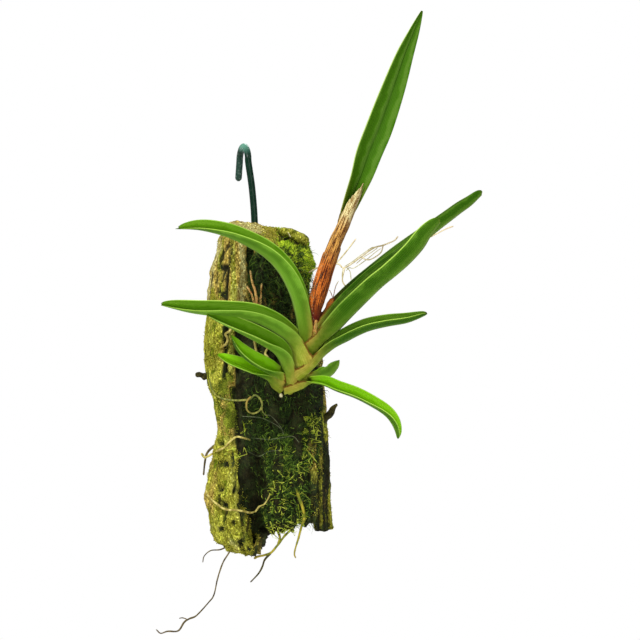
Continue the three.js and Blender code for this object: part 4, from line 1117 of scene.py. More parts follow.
def leaf_lines(leaf, rows):
    """The three lines of a whole leaf, and where each row lies: -1 to 0 on the sheath and 0 to 1 on the
    blade. The rows of the sheath lie before and behind the stem's own depth by the sheath's layer."""
    t = BLADE_FROM + (1 - BLADE_FROM) * (1 - (1 - np.linspace(0, 1, 36)) ** 1.5)
    keel, near, far = blade_lines(leaf, t)
    place = t
    if "neck" in leaf:
        lines = zip(leaf["neck"], (keel, near, far))
        keel, near, far = (np.concatenate([[end], line]) for end, line in lines)
        place = np.concatenate([[-0.05], t])
    if "sheath" in leaf:
        keel_x, keel_z, margin_x, margin_z = np.array(leaf["sheath"]).T
        depth = along(STEM_DEPTH, margin_z)
        keel = np.concatenate([np.stack([keel_x, along(STEM_DEPTH, keel_z), keel_z], -1), keel])
        near = np.concatenate([np.stack([margin_x, depth - leaf["layer"], margin_z], -1), near])
        far = np.concatenate([np.stack([margin_x, depth + leaf["layer"], margin_z], -1), far])
        place = np.concatenate([np.linspace(-1, -0.12, len(keel_x)), t])
    steps = np.mean([stretches(line) for line in (keel, near, far)], axis=0)
    walked = np.concatenate([[0], np.cumsum(steps)])
    at = walked[-1] * (1 - (1 - np.linspace(0, 1, rows)) ** 1.2)
    return [through(walked, line, at) for line in (keel, near, far)], np.interp(at, walked, place)


print("rows of a leaf on its sheath:", int((leaf_lines(LEAVES["leaf_left_4"], 110)[1] < 0).sum()), "of 110")


# %% Half a leaf
SHARES = np.array([0.08, 0.18, 0.32, 0.46, 0.6, 0.74, 0.86, 0.95])
CAP_SHARES = np.array([0.985, 1.0, 0.985])
KEEL_THICKNESS = 1.25
EDGE_THICKNESS = 0.42
LEAST_GAP = 0.04


def half_leaf(keel, margin, forward, across, thick, bow):
    """Outer and inner points of one half of a leaf, at SHARES of the way from keel to margin, and the round
    cap of its margin. The half is bowed like an arch, 4 q (1 - q), and half its thickness lies on each side.
    The inner points are kept a little off the plane between the halves."""
    reach = margin - keel
    out = unit(np.cross(forward, reach))
    out = out * np.sign(dot(out, across))
    q = SHARES[None, :, None]
    middle = keel[:, None] + reach[:, None] * q + out[:, None] * (bow[:, None, None] * 4 * q * (1 - q))
    wall = thick[:, None, None] * (KEEL_THICKNESS + (EDGE_THICKNESS - KEEL_THICKNESS) * q) / 2
    outer, inner = middle + out[:, None] * wall, middle - out[:, None] * wall
    over = dot(inner - keel[:, None], across[:, None])
    inner = inner + across[:, None] * np.maximum(LEAST_GAP - over, 0)
    edge = thick[:, None, None] * EDGE_THICKNESS / 2
    side = np.array([-0.6, 0, 0.6])[None, :, None]
    beyond = CAP_SHARES[None, :, None] - 1
    cap = margin[:, None] + reach[:, None] * beyond + out[:, None] * side * edge
    cap = cap + unit(reach)[:, None] * edge * (1 + 40 * beyond)
    return outer, inner, cap, out


print("points across half a leaf:", len(SHARES), "and round its margin:", len(CAP_SHARES))


# %% A skin round three lines
def leaf_body(leaf, rows=110):
    """A leaf as a closed skin: inner face of the near half from margin to keel, inner face of the far half,
    its margin, its outer face, the round keel, and the outer face and margin of the near half. At the tip
    each half is drawn out into a lobe, by a sine of the way from keel to margin."""
    (keel, near, far), place = leaf_lines(leaf, rows)
    forward = unit(np.gradient(keel, axis=0))
    sheath = smooth(-place, -0.12, 0.1)
    frill = 0.28 * sheath[:, None] * np.stack([noise(near, 1.1, k) for k in (1, 2, 3)], -1)
    near, far = near + frill, far - frill
    across = unit(near - far)
    opening = unit(unit(near - keel) + unit(far - keel))
    across = unit(across - opening * dot(across, opening))
    width = np.linalg.norm(near - keel, axis=1)
    thick = (1 - 0.4 * sheath) * (1 - 0.55 * smooth(place, 0.8, 1)) * np.minimum(1, 0.3 + width / 2.5)
    bow = sheath * 0.42 * leaf["layer"] + (1 - sheath) * 0.05 * width
    outer, inner, cap, out = half_leaf(keel, near, forward, across, thick, bow)
    far_outer, far_inner, far_cap, far_out = half_leaf(keel, far, forward, -across, thick, bow)
    sine = np.linalg.norm(np.cross(unit(near - keel), opening), axis=1)
    wall = (thick * KEEL_THICKNESS / 2)[:, None]
    mitre = np.clip(1 / sine, 1, 1.8)[:, None]
    crotch = keel + opening * wall * mitre
    ridge = np.stack([keel + far_out * wall, keel - opening * wall * np.minimum(mitre, 1.25),
                      keel + out * wall], 1)
    rings = np.concatenate([inner[:, ::-1], crotch[:, None], far_inner, far_cap, far_outer[:, ::-1], ridge,
                            outer, cap[:, ::-1]], 1)
    edge = np.ones(3)
    share = np.concatenate([SHARES[::-1], [0], -SHARES, -edge, -SHARES[::-1], 0 * edge, SHARES, edge])
    face = np.concatenate([np.ones(17), 0.5 * edge, np.zeros(19), 0.5 * edge])
    near_lobe, far_lobe = leaf["lobe"]
    tongue = np.sin(np.pi * np.abs(share)) - 0.5 * (1 - np.abs(share)) ** 3
    longer = np.where(share > 0, near_lobe, far_lobe) * tongue
    rings = rings + forward[:, None] * (smooth(place, 0.9, 1)[:, None] * longer)[..., None]
    line = np.where(share > 0, *leaf["line"])
    return skin(rings, along=place[:, None], share=share, inner=face, line=line,
                **{look: leaf[look] for look in ("fresh", "pale", "clasp")})


leaf_bodies = {name: leaf_body(leaf) for name, leaf in LEAVES.items()}
print("triangles in one leaf:", len(leaf_bodies["leaf_left_1"]["triangles"]))

# %% [markdown]
# ### The leaf's finish
#
# A leaf is never one green. Its inner face is deep and full, its outer face is greyer with a waxy bloom and a
# painted sheen, the margins are thin bright lines, partly painted highlight, and fine veins run along it.
# The fan's leaves have a painted glare along the keel, and painted shade lies in the fold. The sheaths are
# pale yellow-green where the light doesn't reach, darker green on some, which is partly painted shade, and
# their free edges have dried to brown. All of that follows how far along and across the leaf a spot lies, so
# the finish reads those marks and needs no map.


# %% Leaf greens and sheath edges
def leaf_finish(name, old, young, outer, bloom_and_sheen, margin, keel, fold_shade, line_from):
    """old and young are the inner faces of an old and a young leaf. outer is the back of the blade,
    glaucous the back of one with a waxy bloom and a painted sheen, margin its bright free edges, partly
    painted highlight, and its veins, and keel the line on its back, which on the fan is a painted glare.
    fold_shade is how much painted shade darkens the fold inside, and from line_from onwards the margins grow
    brighter."""
    finish = Finish(name, Specular_IOR_Level=0.03)
    place, share, inner = finish.mark("along"), finish.mark("share"), finish.mark("inner")
    across = abs(share)
    speck = finish.grain(0.5, 2)
    cloud = finish.rise(finish.grain(6, 3), 0.35, 0.75)
    vein_wave = (share * 60).sine()
    veins = finish.rise(vein_wave, -0.4, 1.0)
    band = (share * 7 + cloud * 1.5).sine()
    # How much of the back is waxy bloom with a painted sheen.
    bloom = finish.mark("pale") + (cloud - 0.5) * 0.3
    # The keel line: on the fan's leaves a painted glare along the fold's back.
    keel_line = (1 - finish.rise(across, 0.0, 0.12)) * (1 - inner)
    crease = (1 - finish.rise(across, 0.0, 0.3)) * inner
    # Bright margins, partly painted highlight.
    edge = finish.rise(across, 0.965, 0.995) * finish.mark("line")
    brighter = 0.4 + finish.rise(place, line_from, line_from + 0.4) * 0.6
    tip = finish.rise(place, 0.985, 1.0) * finish.rise(speck, 0.3, 0.6)
    blade = finish.coats(
        finish.blend(finish.rise(bloom, -0.2, 1.1), outer, bloom_and_sheen),
        (finish.rise(inner, 0.3, 0.7), finish.blend(finish.mark("fresh"), old, young)),
        (finish.rise(band, -0.2, 1.0) * 0.09, margin),
        (finish.rise(band, 0.2, -1.0) * 0.3, (34, 70, 0)),
        (veins * 0.05, margin),
        (keel_line * 0.3, keel),
        (crease * fold_shade, (16, 44, 0)),
        (edge * brighter, margin),
        (tip * 0.3, (122, 104, 44)),
    )
    mottle = finish.rise(finish.grain(2.2, 3), 0.35, 0.7)
    # The sheath: dark green where clasp is low, partly painted shade, and pale yellow-green where it is high.
    clasp = finish.coats(
        (62, 92, 8),
        (finish.mark("clasp"), finish.blend(mottle, (172, 176, 66), (138, 150, 40))),
        (veins * 0.3, (98, 116, 20)),
        (finish.rise(across, 0.5, 0.95) * 0.5, (168, 136, 62)),
    )
    dried = finish.rise(across + (speck - 0.5) * 0.12, 0.93, 0.98) * (1 - finish.rise(place, 0.0, 0.08))
    whole = finish.coats(blade, (1 - finish.rise(place, -0.22, 0.26), clasp), (dried * 0.9, (96, 60, 18)))
    rough = 0.4 + finish.rise(speck, 0.3, 0.8) * 0.12 + dried * 0.3
    tilt = finish.bump(vein_wave * 0.4 + speck * 0.6, 0.06)
    return finish.paint(Base_Color=whole, Roughness=rough, Normal=tilt)


# The pale back green is waxy bloom with a painted sheen, and the keel colour a painted glare.
fan_green = leaf_finish("fan_leaf_green", old=(8, 52, 0), young=(126, 194, 2), outer=(42, 88, 0),
                        bloom_and_sheen=(106, 154, 40), margin=(170, 206, 84), keel=(150, 170, 92),
                        fold_shade=0.5, line_from=0.2)
for name, body in leaf_bodies.items():
    add_piece(name + "_folded", body, fan_green, [name])
print("leaf triangles in all:", sum(len(body["triangles"]) for body in leaf_bodies.values()))

# %% The tall leaf
tall_green = leaf_finish("tall_leaf_green", old=(48, 92, 0), young=(62, 108, 0), outer=(70, 104, 14),
                         bloom_and_sheen=(96, 126, 48), margin=(166, 192, 100), keel=(44, 66, 0),
                         fold_shade=0.5, line_from=-0.4)
tall_body = leaf_body(TALL_LEAF, 150)
add_piece("tall_leaf_blade", tall_body, tall_green, ["tall_leaf"])
print("tall leaf triangles:", len(tall_body["triangles"]))

# %% [markdown]
# ## Stem and papery shoot
#
# The stem hides inside its sheaths, so a plain flattened pipe is enough, with the dry bract at its tip. The
# shoot is another matter: it is rolled in dry brown sheaths, each a thin cup with a slanting, pointed mouth.
# A pipe would look solid there. A cup is a skin whose rings climb outside to the mouth and come back down
# inside, and the mouth's height changes with the turn.

# %% Stem core and bract
STEM = [[17.8, -20, -96], [18.4, -30, -93.8], [19.8, -37, -91], [22.2, -42, -86.4], [24.8, -46, -81.6],
        [27.2, -49, -77.2], [29, -51, -72.6]]
STEM_BRACT = [[28.2, -50, -75], [28.9, -52, -71.4], [28.9, -52, -67.8]]
stem_core = pipe(STEM, [[0, 2.4], [0.3, 1.4], [0.7, 1.1], [1, 0.9]], 40, 20, lumps=0.05)
stem_bract = pipe(STEM_BRACT, [[0, 1.2], [0.5, 1.1], [1, 0.6]], 30, 14, lumps=0.25)


def stem_finish():
    """Pale green-brown with drier, tan blotches."""
    finish = Finish("pale_leaf_base", Specular_IOR_Level=0.35)
    dry = finish.rise(finish.grain(1.2, 4), 0.42, 0.6)
    shown = finish.blend(dry, (132, 112, 36), (186, 132, 66))
    return finish.paint(Base_Color=shown, Roughness=0.5 + dry * 0.3, Normal=finish.bump(dry, 0.2))


add_piece("stem_core", gathered([stem_core, stem_bract]), stem_finish(), ["leaf_base_stem"])
print("stem triangles:", made_triangles["stem_core"])

# %% Papery cups
SHOOT = [[28.8, -50.4, -71], [28.8, -50.8, -66.4], [29, -50.8, -61], [31.4, -50.6, -52.2],
         [33.6, -50.4, -45.2], [36.5, -50, -37.1], [39.3, -49.8, -31.1], [41.6, -49.4, -25.6],
         [44.2, -48.9, -19.2], [47.4, -48.6, -12.9]]
SHOOT_BRACT = [[32.6, -49, -68.6], [33.9, -48.6, -62.6], [36, -48.2, -58.8]]
BRACT_HAIRS = [[[35.6, -48.3, -59.4], [36.6, -48.6, -54.8], [37.8, -48.8, -52.5]],
               [[35.4, -48.3, -59], [34.6, -48.6, -56.8], [34, -48.7, -56]]]
FOOT_JOINT = [[29, -50, -65], [31, -49.6, -65.6], [33, -49, -66.6]]
SHEATH_WALL = 0.35
SHEATH_RIBS = 24
OUTER_ROWS = 70
INNER_ROWS = 35


def cup(line, radius, mouth, seed):
    """A thin sheath round a line. Its outer wall climbs to the mouth, whose share of the line is a function
    of turn, and its inner wall, one thickness smaller, comes back down. Ribs are a cosine of the turn, and
    noise crumples both walls together."""
    turn = circle(144) - np.pi / 2
    climb = np.concatenate([np.linspace(0, 1, OUTER_ROWS), np.linspace(1, 0.03, INNER_ROWS)])[:, None]
    inside = np.concatenate([np.zeros(OUTER_ROWS), np.ones(INNER_ROWS)])[:, None]
    share = climb * mouth(turn % (2 * np.pi))
    centre, forward = evenly(line, share)
    right = unit(np.cross([0.0, 1.0, 0.0], forward))
    front = np.cross(right, forward)
    ring = right * np.cos(turn)[None, :, None] + front * np.sin(turn)[None, :, None]
    wide = along(radius, share)
    wave = np.cos(SHEATH_RIBS * turn + 0.6 * noise(centre + ring * 3, 9, seed + 3))
    ribs = 0.022 * wave + 0.05 * noise((centre + ring * 3) * [1, 1, 0.5], 1.6, seed)
    spots = centre + ring * np.maximum(wide * (1 + ribs) - SHEATH_WALL * inside, 0.12)[..., None]
    # side: 1 on the right, away from the light, 0 on the lit left, for painted shade and highlights.
    return skin(spots, along=share, rib=wave, inside=inside, around=turn / (2 * np.pi),
                side=0.5 + 0.5 * np.cos(turn - 0.2))


print("rows of a cup:", OUTER_ROWS, "outside and", INNER_ROWS, "inside")


# %% Two mouths, and the small bract at the foot
def long_mouth(turn):
    """The mouth of the upper sheath, by eighths of a turn from the right: a tongue in front at the right,
    and a slant down to the left and behind."""
    heights = [0.96, 1.0, 0.95, 0.87, 0.74, 0.66, 0.7, 0.86, 0.96]
    teeth = 0.008 * np.sin(17 * turn) * np.sin(5 * turn)
    return along([[k * np.pi / 4, height] for k, height in enumerate(heights)], turn) + teeth - 0.008


def torn_mouth(turn):
    """The torn mouth of the lower sheath: slanting, with a small tooth at the front."""
    return 0.5 + 0.045 * np.cos(turn - 0.8) + 0.01 * np.sin(9 * turn) + 0.025 * bell(turn, 1.0, 0.2)


UPPER_RADIUS = [[0, 0.7], [0.16, 2.5], [0.44, 2.7], [0.6, 2.55], [0.74, 2.4], [0.88, 2.1], [1, 0.9]]
LOWER_RADIUS = [[0, 1.0], [0.08, 1.9], [0.18, 3.1], [0.3, 3.3], [0.42, 3.15], [0.58, 2.9]]
upper_cup = cup(SHOOT, UPPER_RADIUS, long_mouth, seed=7)
lower_cup = cup(SHOOT, LOWER_RADIUS, torn_mouth, seed=8)
BRACT_RADIUS = [[0, 0.9], [0.6, 1.45], [0.85, 1.1], [1, 0.3]]
NO_RIBS = {"rib": 0.0, "inside": 0.0, "around": 0.0}
# side sets each small piece's painted shade and highlight.
small_bract = pipe(SHOOT_BRACT, BRACT_RADIUS, 30, 14, lumps=0.3, side=0.3, **NO_RIBS)
bract_hairs = [pipe(line, 0.15, 20, 6, side=0.5, **NO_RIBS) for line in BRACT_HAIRS]
foot_joint = pipe(FOOT_JOINT, 0.9, 12, 12, side=0.9, **NO_RIBS)
small_bract["marks"]["along"] = 0.13 + 0.08 * small_bract["marks"]["along"]
foot_joint["marks"]["along"] = 0.1 * foot_joint["marks"]["along"]
print("points of the upper sheath:", len(upper_cup["points"]))


# %% The papery finish
def papery_finish():
    """Dry stripes, red-brown below, tan in the middle and straw at the top. The side away from the light is
    darker with painted shade, the lit one has cream flecks of painted highlight, and the inside is pale."""
    finish = Finish("dry_papery_sheath", Specular_IOR_Level=0.15)
    place, rib, side = finish.mark("along"), finish.mark("rib"), finish.mark("side")
    rolled = finish.node("CombineXYZ", {}, {"X": finish.mark("around") * 24, "Y": place * 10})
    streak = finish.node("TexNoise", {}, {"Vector": rolled, "Scale": 1.0, "Detail": 4.0})
    fleck = finish.grain(0.5, 3)
    stripe = finish.rise(rib * 0.05 + streak + (fleck - 0.5) * 0.5, 0.36, 0.62)
    uneven = place + (streak - 0.5) * 0.3
    # Painted highlight: cream flecks on the lit side.
    cream = (1 - finish.rise(fleck, 0.34, 0.44)) * (1 - finish.rise(side, 0.1, 0.6))
    body = finish.coats(
        (88, 22, 8),
        (finish.rise(place, 0.06, 0.2), finish.blend(stripe, (66, 18, 2), (204, 108, 32))),
        (finish.rise(uneven, 0.36, 0.6), finish.blend(stripe, (78, 36, 4), (212, 158, 76))),
        (finish.rise(uneven, 0.66, 0.8), finish.blend(stripe, (138, 104, 42), (238, 226, 166))),
        # Painted shade on the side away from the light.
        (finish.rise(side, 0.6, 1.0) * 0.5, (84, 42, 8)),
        (finish.rise(fleck, 0.6, 0.72) * 0.5, (72, 30, 10)),
        (cream * 0.45, (240, 214, 150)),
        (finish.mark("inside") * 0.6, (196, 168, 96)),
    )
    return finish.paint(Base_Color=body, Roughness=0.6, Normal=finish.bump(rib * 0.2 + fleck * 0.8, 0.35))


shoot_body = gathered([upper_cup, lower_cup, small_bract, foot_joint] + bract_hairs)
add_piece("papery_shoot", shoot_body, papery_finish(), ["papery_shoot_sheath"])
print("shoot triangles:", made_triangles["papery_shoot"])

# %% [markdown]
# ## Roots
#
# Orchid roots are round, blunt and a little lumpy. Alive they have a cream or grey-green spongy coat, and old
# ones are thin and brown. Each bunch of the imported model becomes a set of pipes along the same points, a bit
# uneven in thickness. Where a root lies on the bark, its points give x, z and its height above the bark, so
# it follows every ridge. After a run's points comes its radius, as a number or as pairs over its length, and
# for an old branch the share of its coat that has died.


# %% Where the roots run
def on_bark(points):
    """Points given as x, z and a height above the bark's front. The carved bark lies a little deeper than its
    outline, so the root is let down by as much."""
    x, z, above = np.array(points, float).T
    return np.stack([x, bark_front(x, z) - above + 0.3, z], -1)


ROOTS = {
    "root_looped": ("green_root", [
        (on_bark([[-13.4, -91.4, 0.4], [-13, -94.8, 0.6], [-11.6, -97.4, 0.8], [-8.6, -99.2, 0.9],
                  [-4, -100, 1.4], [0, -99.9, 3], [2.6, -99.4, 3.4], [4.4, -97.9, 3.6], [6.4, -99.2, 3.6],
                  [7.3, -101.6, 3.4], [6.2, -104.2, 3], [3.6, -105.3, 2.6], [1.4, -104, 3],
                  [1.1, -101.6, 3.6], [1.6, -99.8, 3.6], [3, -98.4, 3.8]]), 0.38),
        (on_bark([[7.2, -102.4, 3.2], [7.4, -104.4, 2], [8.4, -105.6, 0.8], [9.4, -106.4, -0.6]]), 0.3),
    ]),
    "root_pale_left": ("pale_root", [
        (on_bark([[-12.6, -121.4, 0.8], [-9.8, -119.8, 0.8], [-7.6, -118.8, 0.8], [-5.4, -116.4, 0.9],
                  [-3, -114.6, 1], [-0.6, -114.9, 1.6], [2, -115.6, 0.6], [3.4, -116.2, -0.8]]), 0.4),
        ([[-17, -18.4, -121.2], [-15.4, -20, -122.8], [-12.6, -21.8, -121.4]], 0.45),
    ]),
    "root_pale_nose": ("pale_root", [
        (on_bark([[-15.2, -135.8, 0.8], [-13.8, -138.6, 0.8], [-10.6, -141.4, 0.9], [-7.4, -143.4, 0.9],
                  [-3.4, -143.7, 0.9], [0, -144.2, 1.2], [2.4, -144.8, 2.4], [4.6, -144.3, 5],
                  [6.2, -142.4, 6], [8.2, -141.4, 4], [9.8, -139, 0.6], [10.4, -137.4, -0.8]]),
         [[0, 0.42], [0.6, 0.42], [1, 0.25]]),
    ]),
    "root_dark_left": ("brown_root", [
        ([[-10.4, -14, -117.6], [-12.8, -15, -119], [-14.8, -15.5, -121.4], [-15.6, -15.5, -125],
          [-16.1, -15, -130]], [[0, 0.5], [1, 0.36]]),
    ]),
    "root_hanging_right": ("yellow_root", [
        ([[20.6, -23, -134], [21.6, -27.6, -137.6], [23.4, -28, -142.4], [24.2, -27, -146.6],
          [23, -25.6, -150.4], [21.8, -25, -155], [20.5, -25, -159.4], [20.2, -25, -161.6],
          [20.8, -25, -163]], [[0, 0.5], [0.35, 0.62], [1, 0.32]]),
    ]),
    "root_hanging_middle": ("yellow_root", [
        ([[20.8, -17, -148.6], [18.6, -22, -151.8], [16.4, -24, -154], [13.6, -25, -157.6],
          [10.9, -25.6, -160.7], [8, -26, -161.8], [5.4, -26.6, -162.4], [4, -26.6, -163.2]], 0.45),
        ([[13.4, -21, -152], [14.4, -23.6, -154.8], [13.6, -25, -157.6]], 0.5),
        ([[10.9, -25.6, -160.7], [8.4, -25.4, -163.6], [7.4, -25, -166.4], [5.8, -24.6, -169.2],
          [2.6, -24.4, -172.6]], [[0, 0.45], [1, 0.3]], 0.85),
    ]),
    "root_hanging_long": ("brown_root", [
        ([[-5, -24, -159.5], [-6.4, -24.4, -161.6], [-8.4, -24.6, -165], [-10.4, -24.4, -171],
          [-11.9, -24, -177.6], [-14, -23.4, -180.6], [-18.8, -22.6, -185.8], [-21.8, -22, -187.2],
          [-23.8, -21.6, -188.6], [-26.2, -21, -192], [-30.4, -20.6, -192.2], [-33.2, -20.4, -193],
          [-35, -20.2, -191.4]], [[0, 0.32], [0.5, 0.26], [0.74, 0.4], [0.84, 0.34], [1, 0.26]]),
        ([[-22.6, -22, -187.4], [-24.4, -22.4, -186.8], [-25.8, -22.6, -187]], 0.22),
    ]),
    "root_hanging_short": ("brown_root", [
        ([[-6, -20, -158], [-9.4, -20.6, -159.6], [-13.2, -21, -160], [-15.8, -20.6, -162.2],
          [-16.4, -20.4, -164.8]], [[0, 0.3], [1, 0.2]]),
    ]),
    "root_upper_spray": ("spray_root", [
        ([[25, -20, -49.4], [31, -25, -46.6], [37.4, -29, -45.6], [40.2, -31, -47.2], [46.6, -33, -43],
          [51.6, -34.6, -39.4], [55.6, -35, -38.2], [59.9, -35.4, -36.4], [61.5, -35.4, -34.6]], 0.29),
        ([[40.2, -31, -47.2], [39.4, -31.4, -52.6], [42.6, -31.2, -54.8], [50, -31, -49.4],
          [60, -31.6, -42.4], [72, -32.4, -36.2], [80, -33, -32], [83.6, -33.4, -30.6]], 0.26),
        ([[46.6, -33, -43], [50, -34, -44], [54.4, -34.6, -41.4], [55.6, -35, -38.2]], 0.24),
        ([[36.6, -28.6, -45.6], [40, -29.4, -41.8], [44.8, -30, -35.6]], 0.26),
    ]),
    "root_fingers": ("rootlet", [
        (on_bark([[0.4, -61.4, -0.5], [2.4, -61.8, 0.6], [5.6, -62, 0.6], [7.6, -62, -0.5]]), 0.5),
        (on_bark([[5.6, -62, 0.6], [4.6, -56.6, 0.9], [3.4, -52.8, 1.1], [2.6, -48.2, 0.9]]),
         [[0, 0.7], [1, 0.4]]),
        (on_bark([[6.8, -62, 0.4], [6.9, -56.6, 0.9], [7.2, -53.4, 0.9]]), [[0, 0.55], [1, 0.35]]),
        (on_bark([[4.4, -62, 0.5], [3, -57.4, 0.9], [1.2, -54.7, 0.9]]), [[0, 0.55], [1, 0.35]]),
    ]),
    "root_curled_left": ("pale_root", [
        (on_bark([[-5.2, -70.6, -0.6], [-5.4, -72.2, 0.8], [-7.2, -73.6, 0.8], [-6.4, -75.6, 0.8],
                  [-7, -77.6, 0.8], [-8.2, -78.4, -0.5]]), 0.5),
    ]),
    "root_behind_leaves": ("pale_root", [
        (on_bark([[4.2, -75.4, -0.6], [4.5, -77.4, 0.8], [5, -80, 0.8], [6.2, -82.6, 0.8], [8, -84.4, 0.8],
                  [10, -83.4, 0.8]]), 0.5),
        (on_bark([[10.2, -78.4, -0.6], [9.4, -79.6, 0.8], [8.6, -81.4, 0.9], [10, -83.4, 0.8],
                  [12.2, -85.6, -0.6]]), 0.5),
    ]),
}
print("root bunches:", len(ROOTS))


# %% Root finishes
def root_finish(name, dark, light, tip):
    """A spongy coat in two tones, worn in patches, with the tip in its own colour. Where the mark `old` is 1
    the coat has died and is nearly black."""
    finish = Finish(name, Specular_IOR_Level=0.3)
    patchy = finish.rise(finish.grain(1.6, 3, (1, 1, 0.6)), 0.36, 0.64)
    near_tip = finish.rise(finish.mark("along"), 0.75, 1.0)
    coat = finish.coats(dark, (patchy, light), (near_tip * 0.7, tip), (finish.mark("old"), (46, 40, 24)))
    tilt = finish.bump(finish.grain(0.45, 2) + patchy, 0.14)
    return finish.paint(Base_Color=coat, Roughness=0.7 + patchy * 0.12, Normal=tilt)


ROOT_FINISHES = {
    "pale_root": root_finish("cream_root_coat", (136, 122, 48), (206, 192, 108), (176, 160, 84)),
    "green_root": root_finish("grey_green_root_coat", (92, 104, 40), (152, 150, 70), (176, 140, 62)),
    "yellow_root": root_finish("moss_stained_root", (96, 104, 10), (166, 152, 40), (156, 134, 48)),
    "spray_root": root_finish("dry_cream_root", (190, 172, 118), (240, 226, 184), (228, 206, 170)),
    "brown_root": root_finish("old_brown_root", (54, 44, 22), (104, 90, 48), (84, 68, 40)),
    "rootlet": root_finish("tan_rootlet", (152, 100, 44), (222, 178, 102), (228, 190, 120)),
}
print("root finishes:", len(ROOT_FINISHES))

# %% Draw the roots
ROOT_ROW_GAP = 0.55
for number, (name, (kind, runs)) in enumerate(ROOTS.items()):
    bodies = []
    for line, radius, *old in runs:
        line = np.array(line, float)
        rows = int(stretches(line).sum() / ROOT_ROW_GAP) + 12
        bodies.append(pipe(line, radius, rows, 12, lumps=0.16, seed=number, old=sum(old)))
    add_piece(name + "_coat", gathered(bodies), ROOT_FINISHES[kind], [name])
print("root triangles:", sum(made_triangles[name + "_coat"] for name in ROOTS))

# %% Fine root hairs
ROOT_HAIRS = [
    [[40, -31, -46.8], [43.2, -31.5, -44.8], [46.4, -32, -42.4], [50.6, -32.6, -39.4], [52, -32.8, -39],
     [53.5, -33, -39], [51.2, -32.6, -40.8], [48.2, -32.2, -42.7], [44.8, -31.8, -45.6]],
    [[40.8, -31, -48.4], [42, -31, -47.2], [44.1, -31.4, -47.2], [49, -32, -43.9], [52, -32.4, -41.4],
     [54.7, -32.8, -39.4]],
    [[41.2, -31, -47.2], [42.4, -31.2, -48.8], [42.8, -31.4, -52]],
    [[39.6, -31, -47.2], [39.2, -31.2, -50.4], [39.6, -31.4, -53.2]],
    [[15.3, -12.4, -31.4], [17.2, -15.6, -32.4], [18.7, -18.6, -34.9]],
]
WEB_THREADS = [
    on_bark([[-0.6, -106.4, 1.6], [6.7, -107, 3.4], [12.2, -109.4, 4], [14.7, -111.3, 3.2]]),
    on_bark([[8, -105.8, 2.4], [11, -106.4, 3.6], [14.7, -110.7, 3.6], [15.9, -113.7, 2.6]]),
    on_bark([[3.1, -115, 2], [9.8, -115.6, 3], [14.7, -115, 3.6], [19.6, -114.4, 3.2], [22, -116.8, 2]]),
    on_bark([[1.8, -120.5, 1.6], [6.1, -122.3, 2.6], [9.8, -120.5, 3], [14.7, -119.8, 2.2]]),
]
bud = pipe(on_bark([[14.6, -98, 2.2], [15.2, -98.2, 3.4]]), 0.85, 12, 12, old=0.0)
hair_bodies = [pipe(line, 0.16, 40, 6, lumps=0.2, old=0.0) for line in ROOT_HAIRS] + [bud]
hair_finish = root_finish("pale_thread", (180, 176, 124), (226, 216, 170), (226, 216, 170))
add_piece("root_hairs", gathered(hair_bodies), hair_finish)
web_finish = root_finish("dusty_web", (70, 78, 52), (124, 134, 96), (124, 134, 96))
web_bodies = [pipe(line, 0.1, 40, 5, lumps=0.3, old=0.0) for line in WEB_THREADS]
add_piece("web_threads", gathered(web_bodies), web_finish)
print("hairs and threads:", len(ROOT_HAIRS) + len(WEB_THREADS))

# %% [markdown]
# ## Moss
#
# Several mosses grow here: a bright cushion at the top right, a short felt on the flap, green and olive
# crumbs on the ridges, long dark fronds in the wet hollow, and dark and bright curly tufts under the plant.
# Particles or hair curves are the usual way, but they don't survive as plain mesh. Instead, spots are drawn
# on the bark's own triangles, with a chance that the marks decide, and every spot grows one tiny closed
# solid: a spindle of six triangles for a leaflet, or a bent three-sided strand for a frond. They are worked
# out all together, as arrays.


# %% Spots on the bark
def scattered(weight, count):
    """Random spots on the bark and the direction out of it there: a triangle is drawn with a chance of its
    area times its weight, and a random square folded into a triangle gives the place inside it."""
    corners = bark_body["points"][bark_body["triangles"]]
    crossed = np.cross(corners[:, 1] - corners[:, 0], corners[:, 2] - corners[:, 0])
    chance = np.linalg.norm(crossed, axis=1) * weight[bark_body["triangles"]].mean(1)
    picked = rng.choice(len(chance), count, p=chance / chance.sum())
    u, v = rng.random((2, count, 1))
    u, v = np.where(u + v > 1, 1 - u, u), np.where(u + v > 1, 1 - v, v)
    a, b, c = (corners[picked, k] for k in range(3))
    return a + u * (b - a) + v * (c - a), unit(crossed[picked])


def strewn(count, spread):
    """Random vectors of about this length, to tilt directions with."""
    return rng.normal(0, spread, (count, 3))


print("triangles of bark to draw from:", len(bark_body["triangles"]))


# %% Leaflets
LEAFLET_FOOT = 0.12
WIDEST_AT = 0.42
LEAFLET_TRIANGLES = np.array([[2, 1, 0], [3, 2, 0], [1, 3, 0], [1, 2, 4], [2, 3, 4], [3, 1, 4]])


def leaflets(spots, directions, length, width, fresh):
    """Spindles: a foot just under the spot, a tip, and three corners round the middle."""
    count = len(spots)
    across = unit(np.cross(directions, strewn(count, 1.0)))
    above = np.cross(directions, across)
    turn = 2 * np.pi * np.arange(3) / 3
    middle = spots + directions * length * WIDEST_AT
    corners = [middle + (across * np.cos(each) + above * np.sin(each)) * width for each in turn]
    points = np.stack([spots - directions * LEAFLET_FOOT, *corners, spots + directions * length], 1)
    triangles = (np.arange(count)[:, None, None] * 5 + LEAFLET_TRIANGLES).reshape(-1, 3)
    along_it = np.broadcast_to([0, WIDEST_AT, WIDEST_AT, WIDEST_AT, 1.0], (count, 5)).ravel()
    marks = {"along": along_it, "fresh": np.repeat(np.broadcast_to(fresh, (count, 1))[:, 0], 5)}
    return {"points": points.reshape(-1, 3), "triangles": triangles, "marks": marks}


print("triangles in a leaflet:", len(LEAFLET_TRIANGLES))


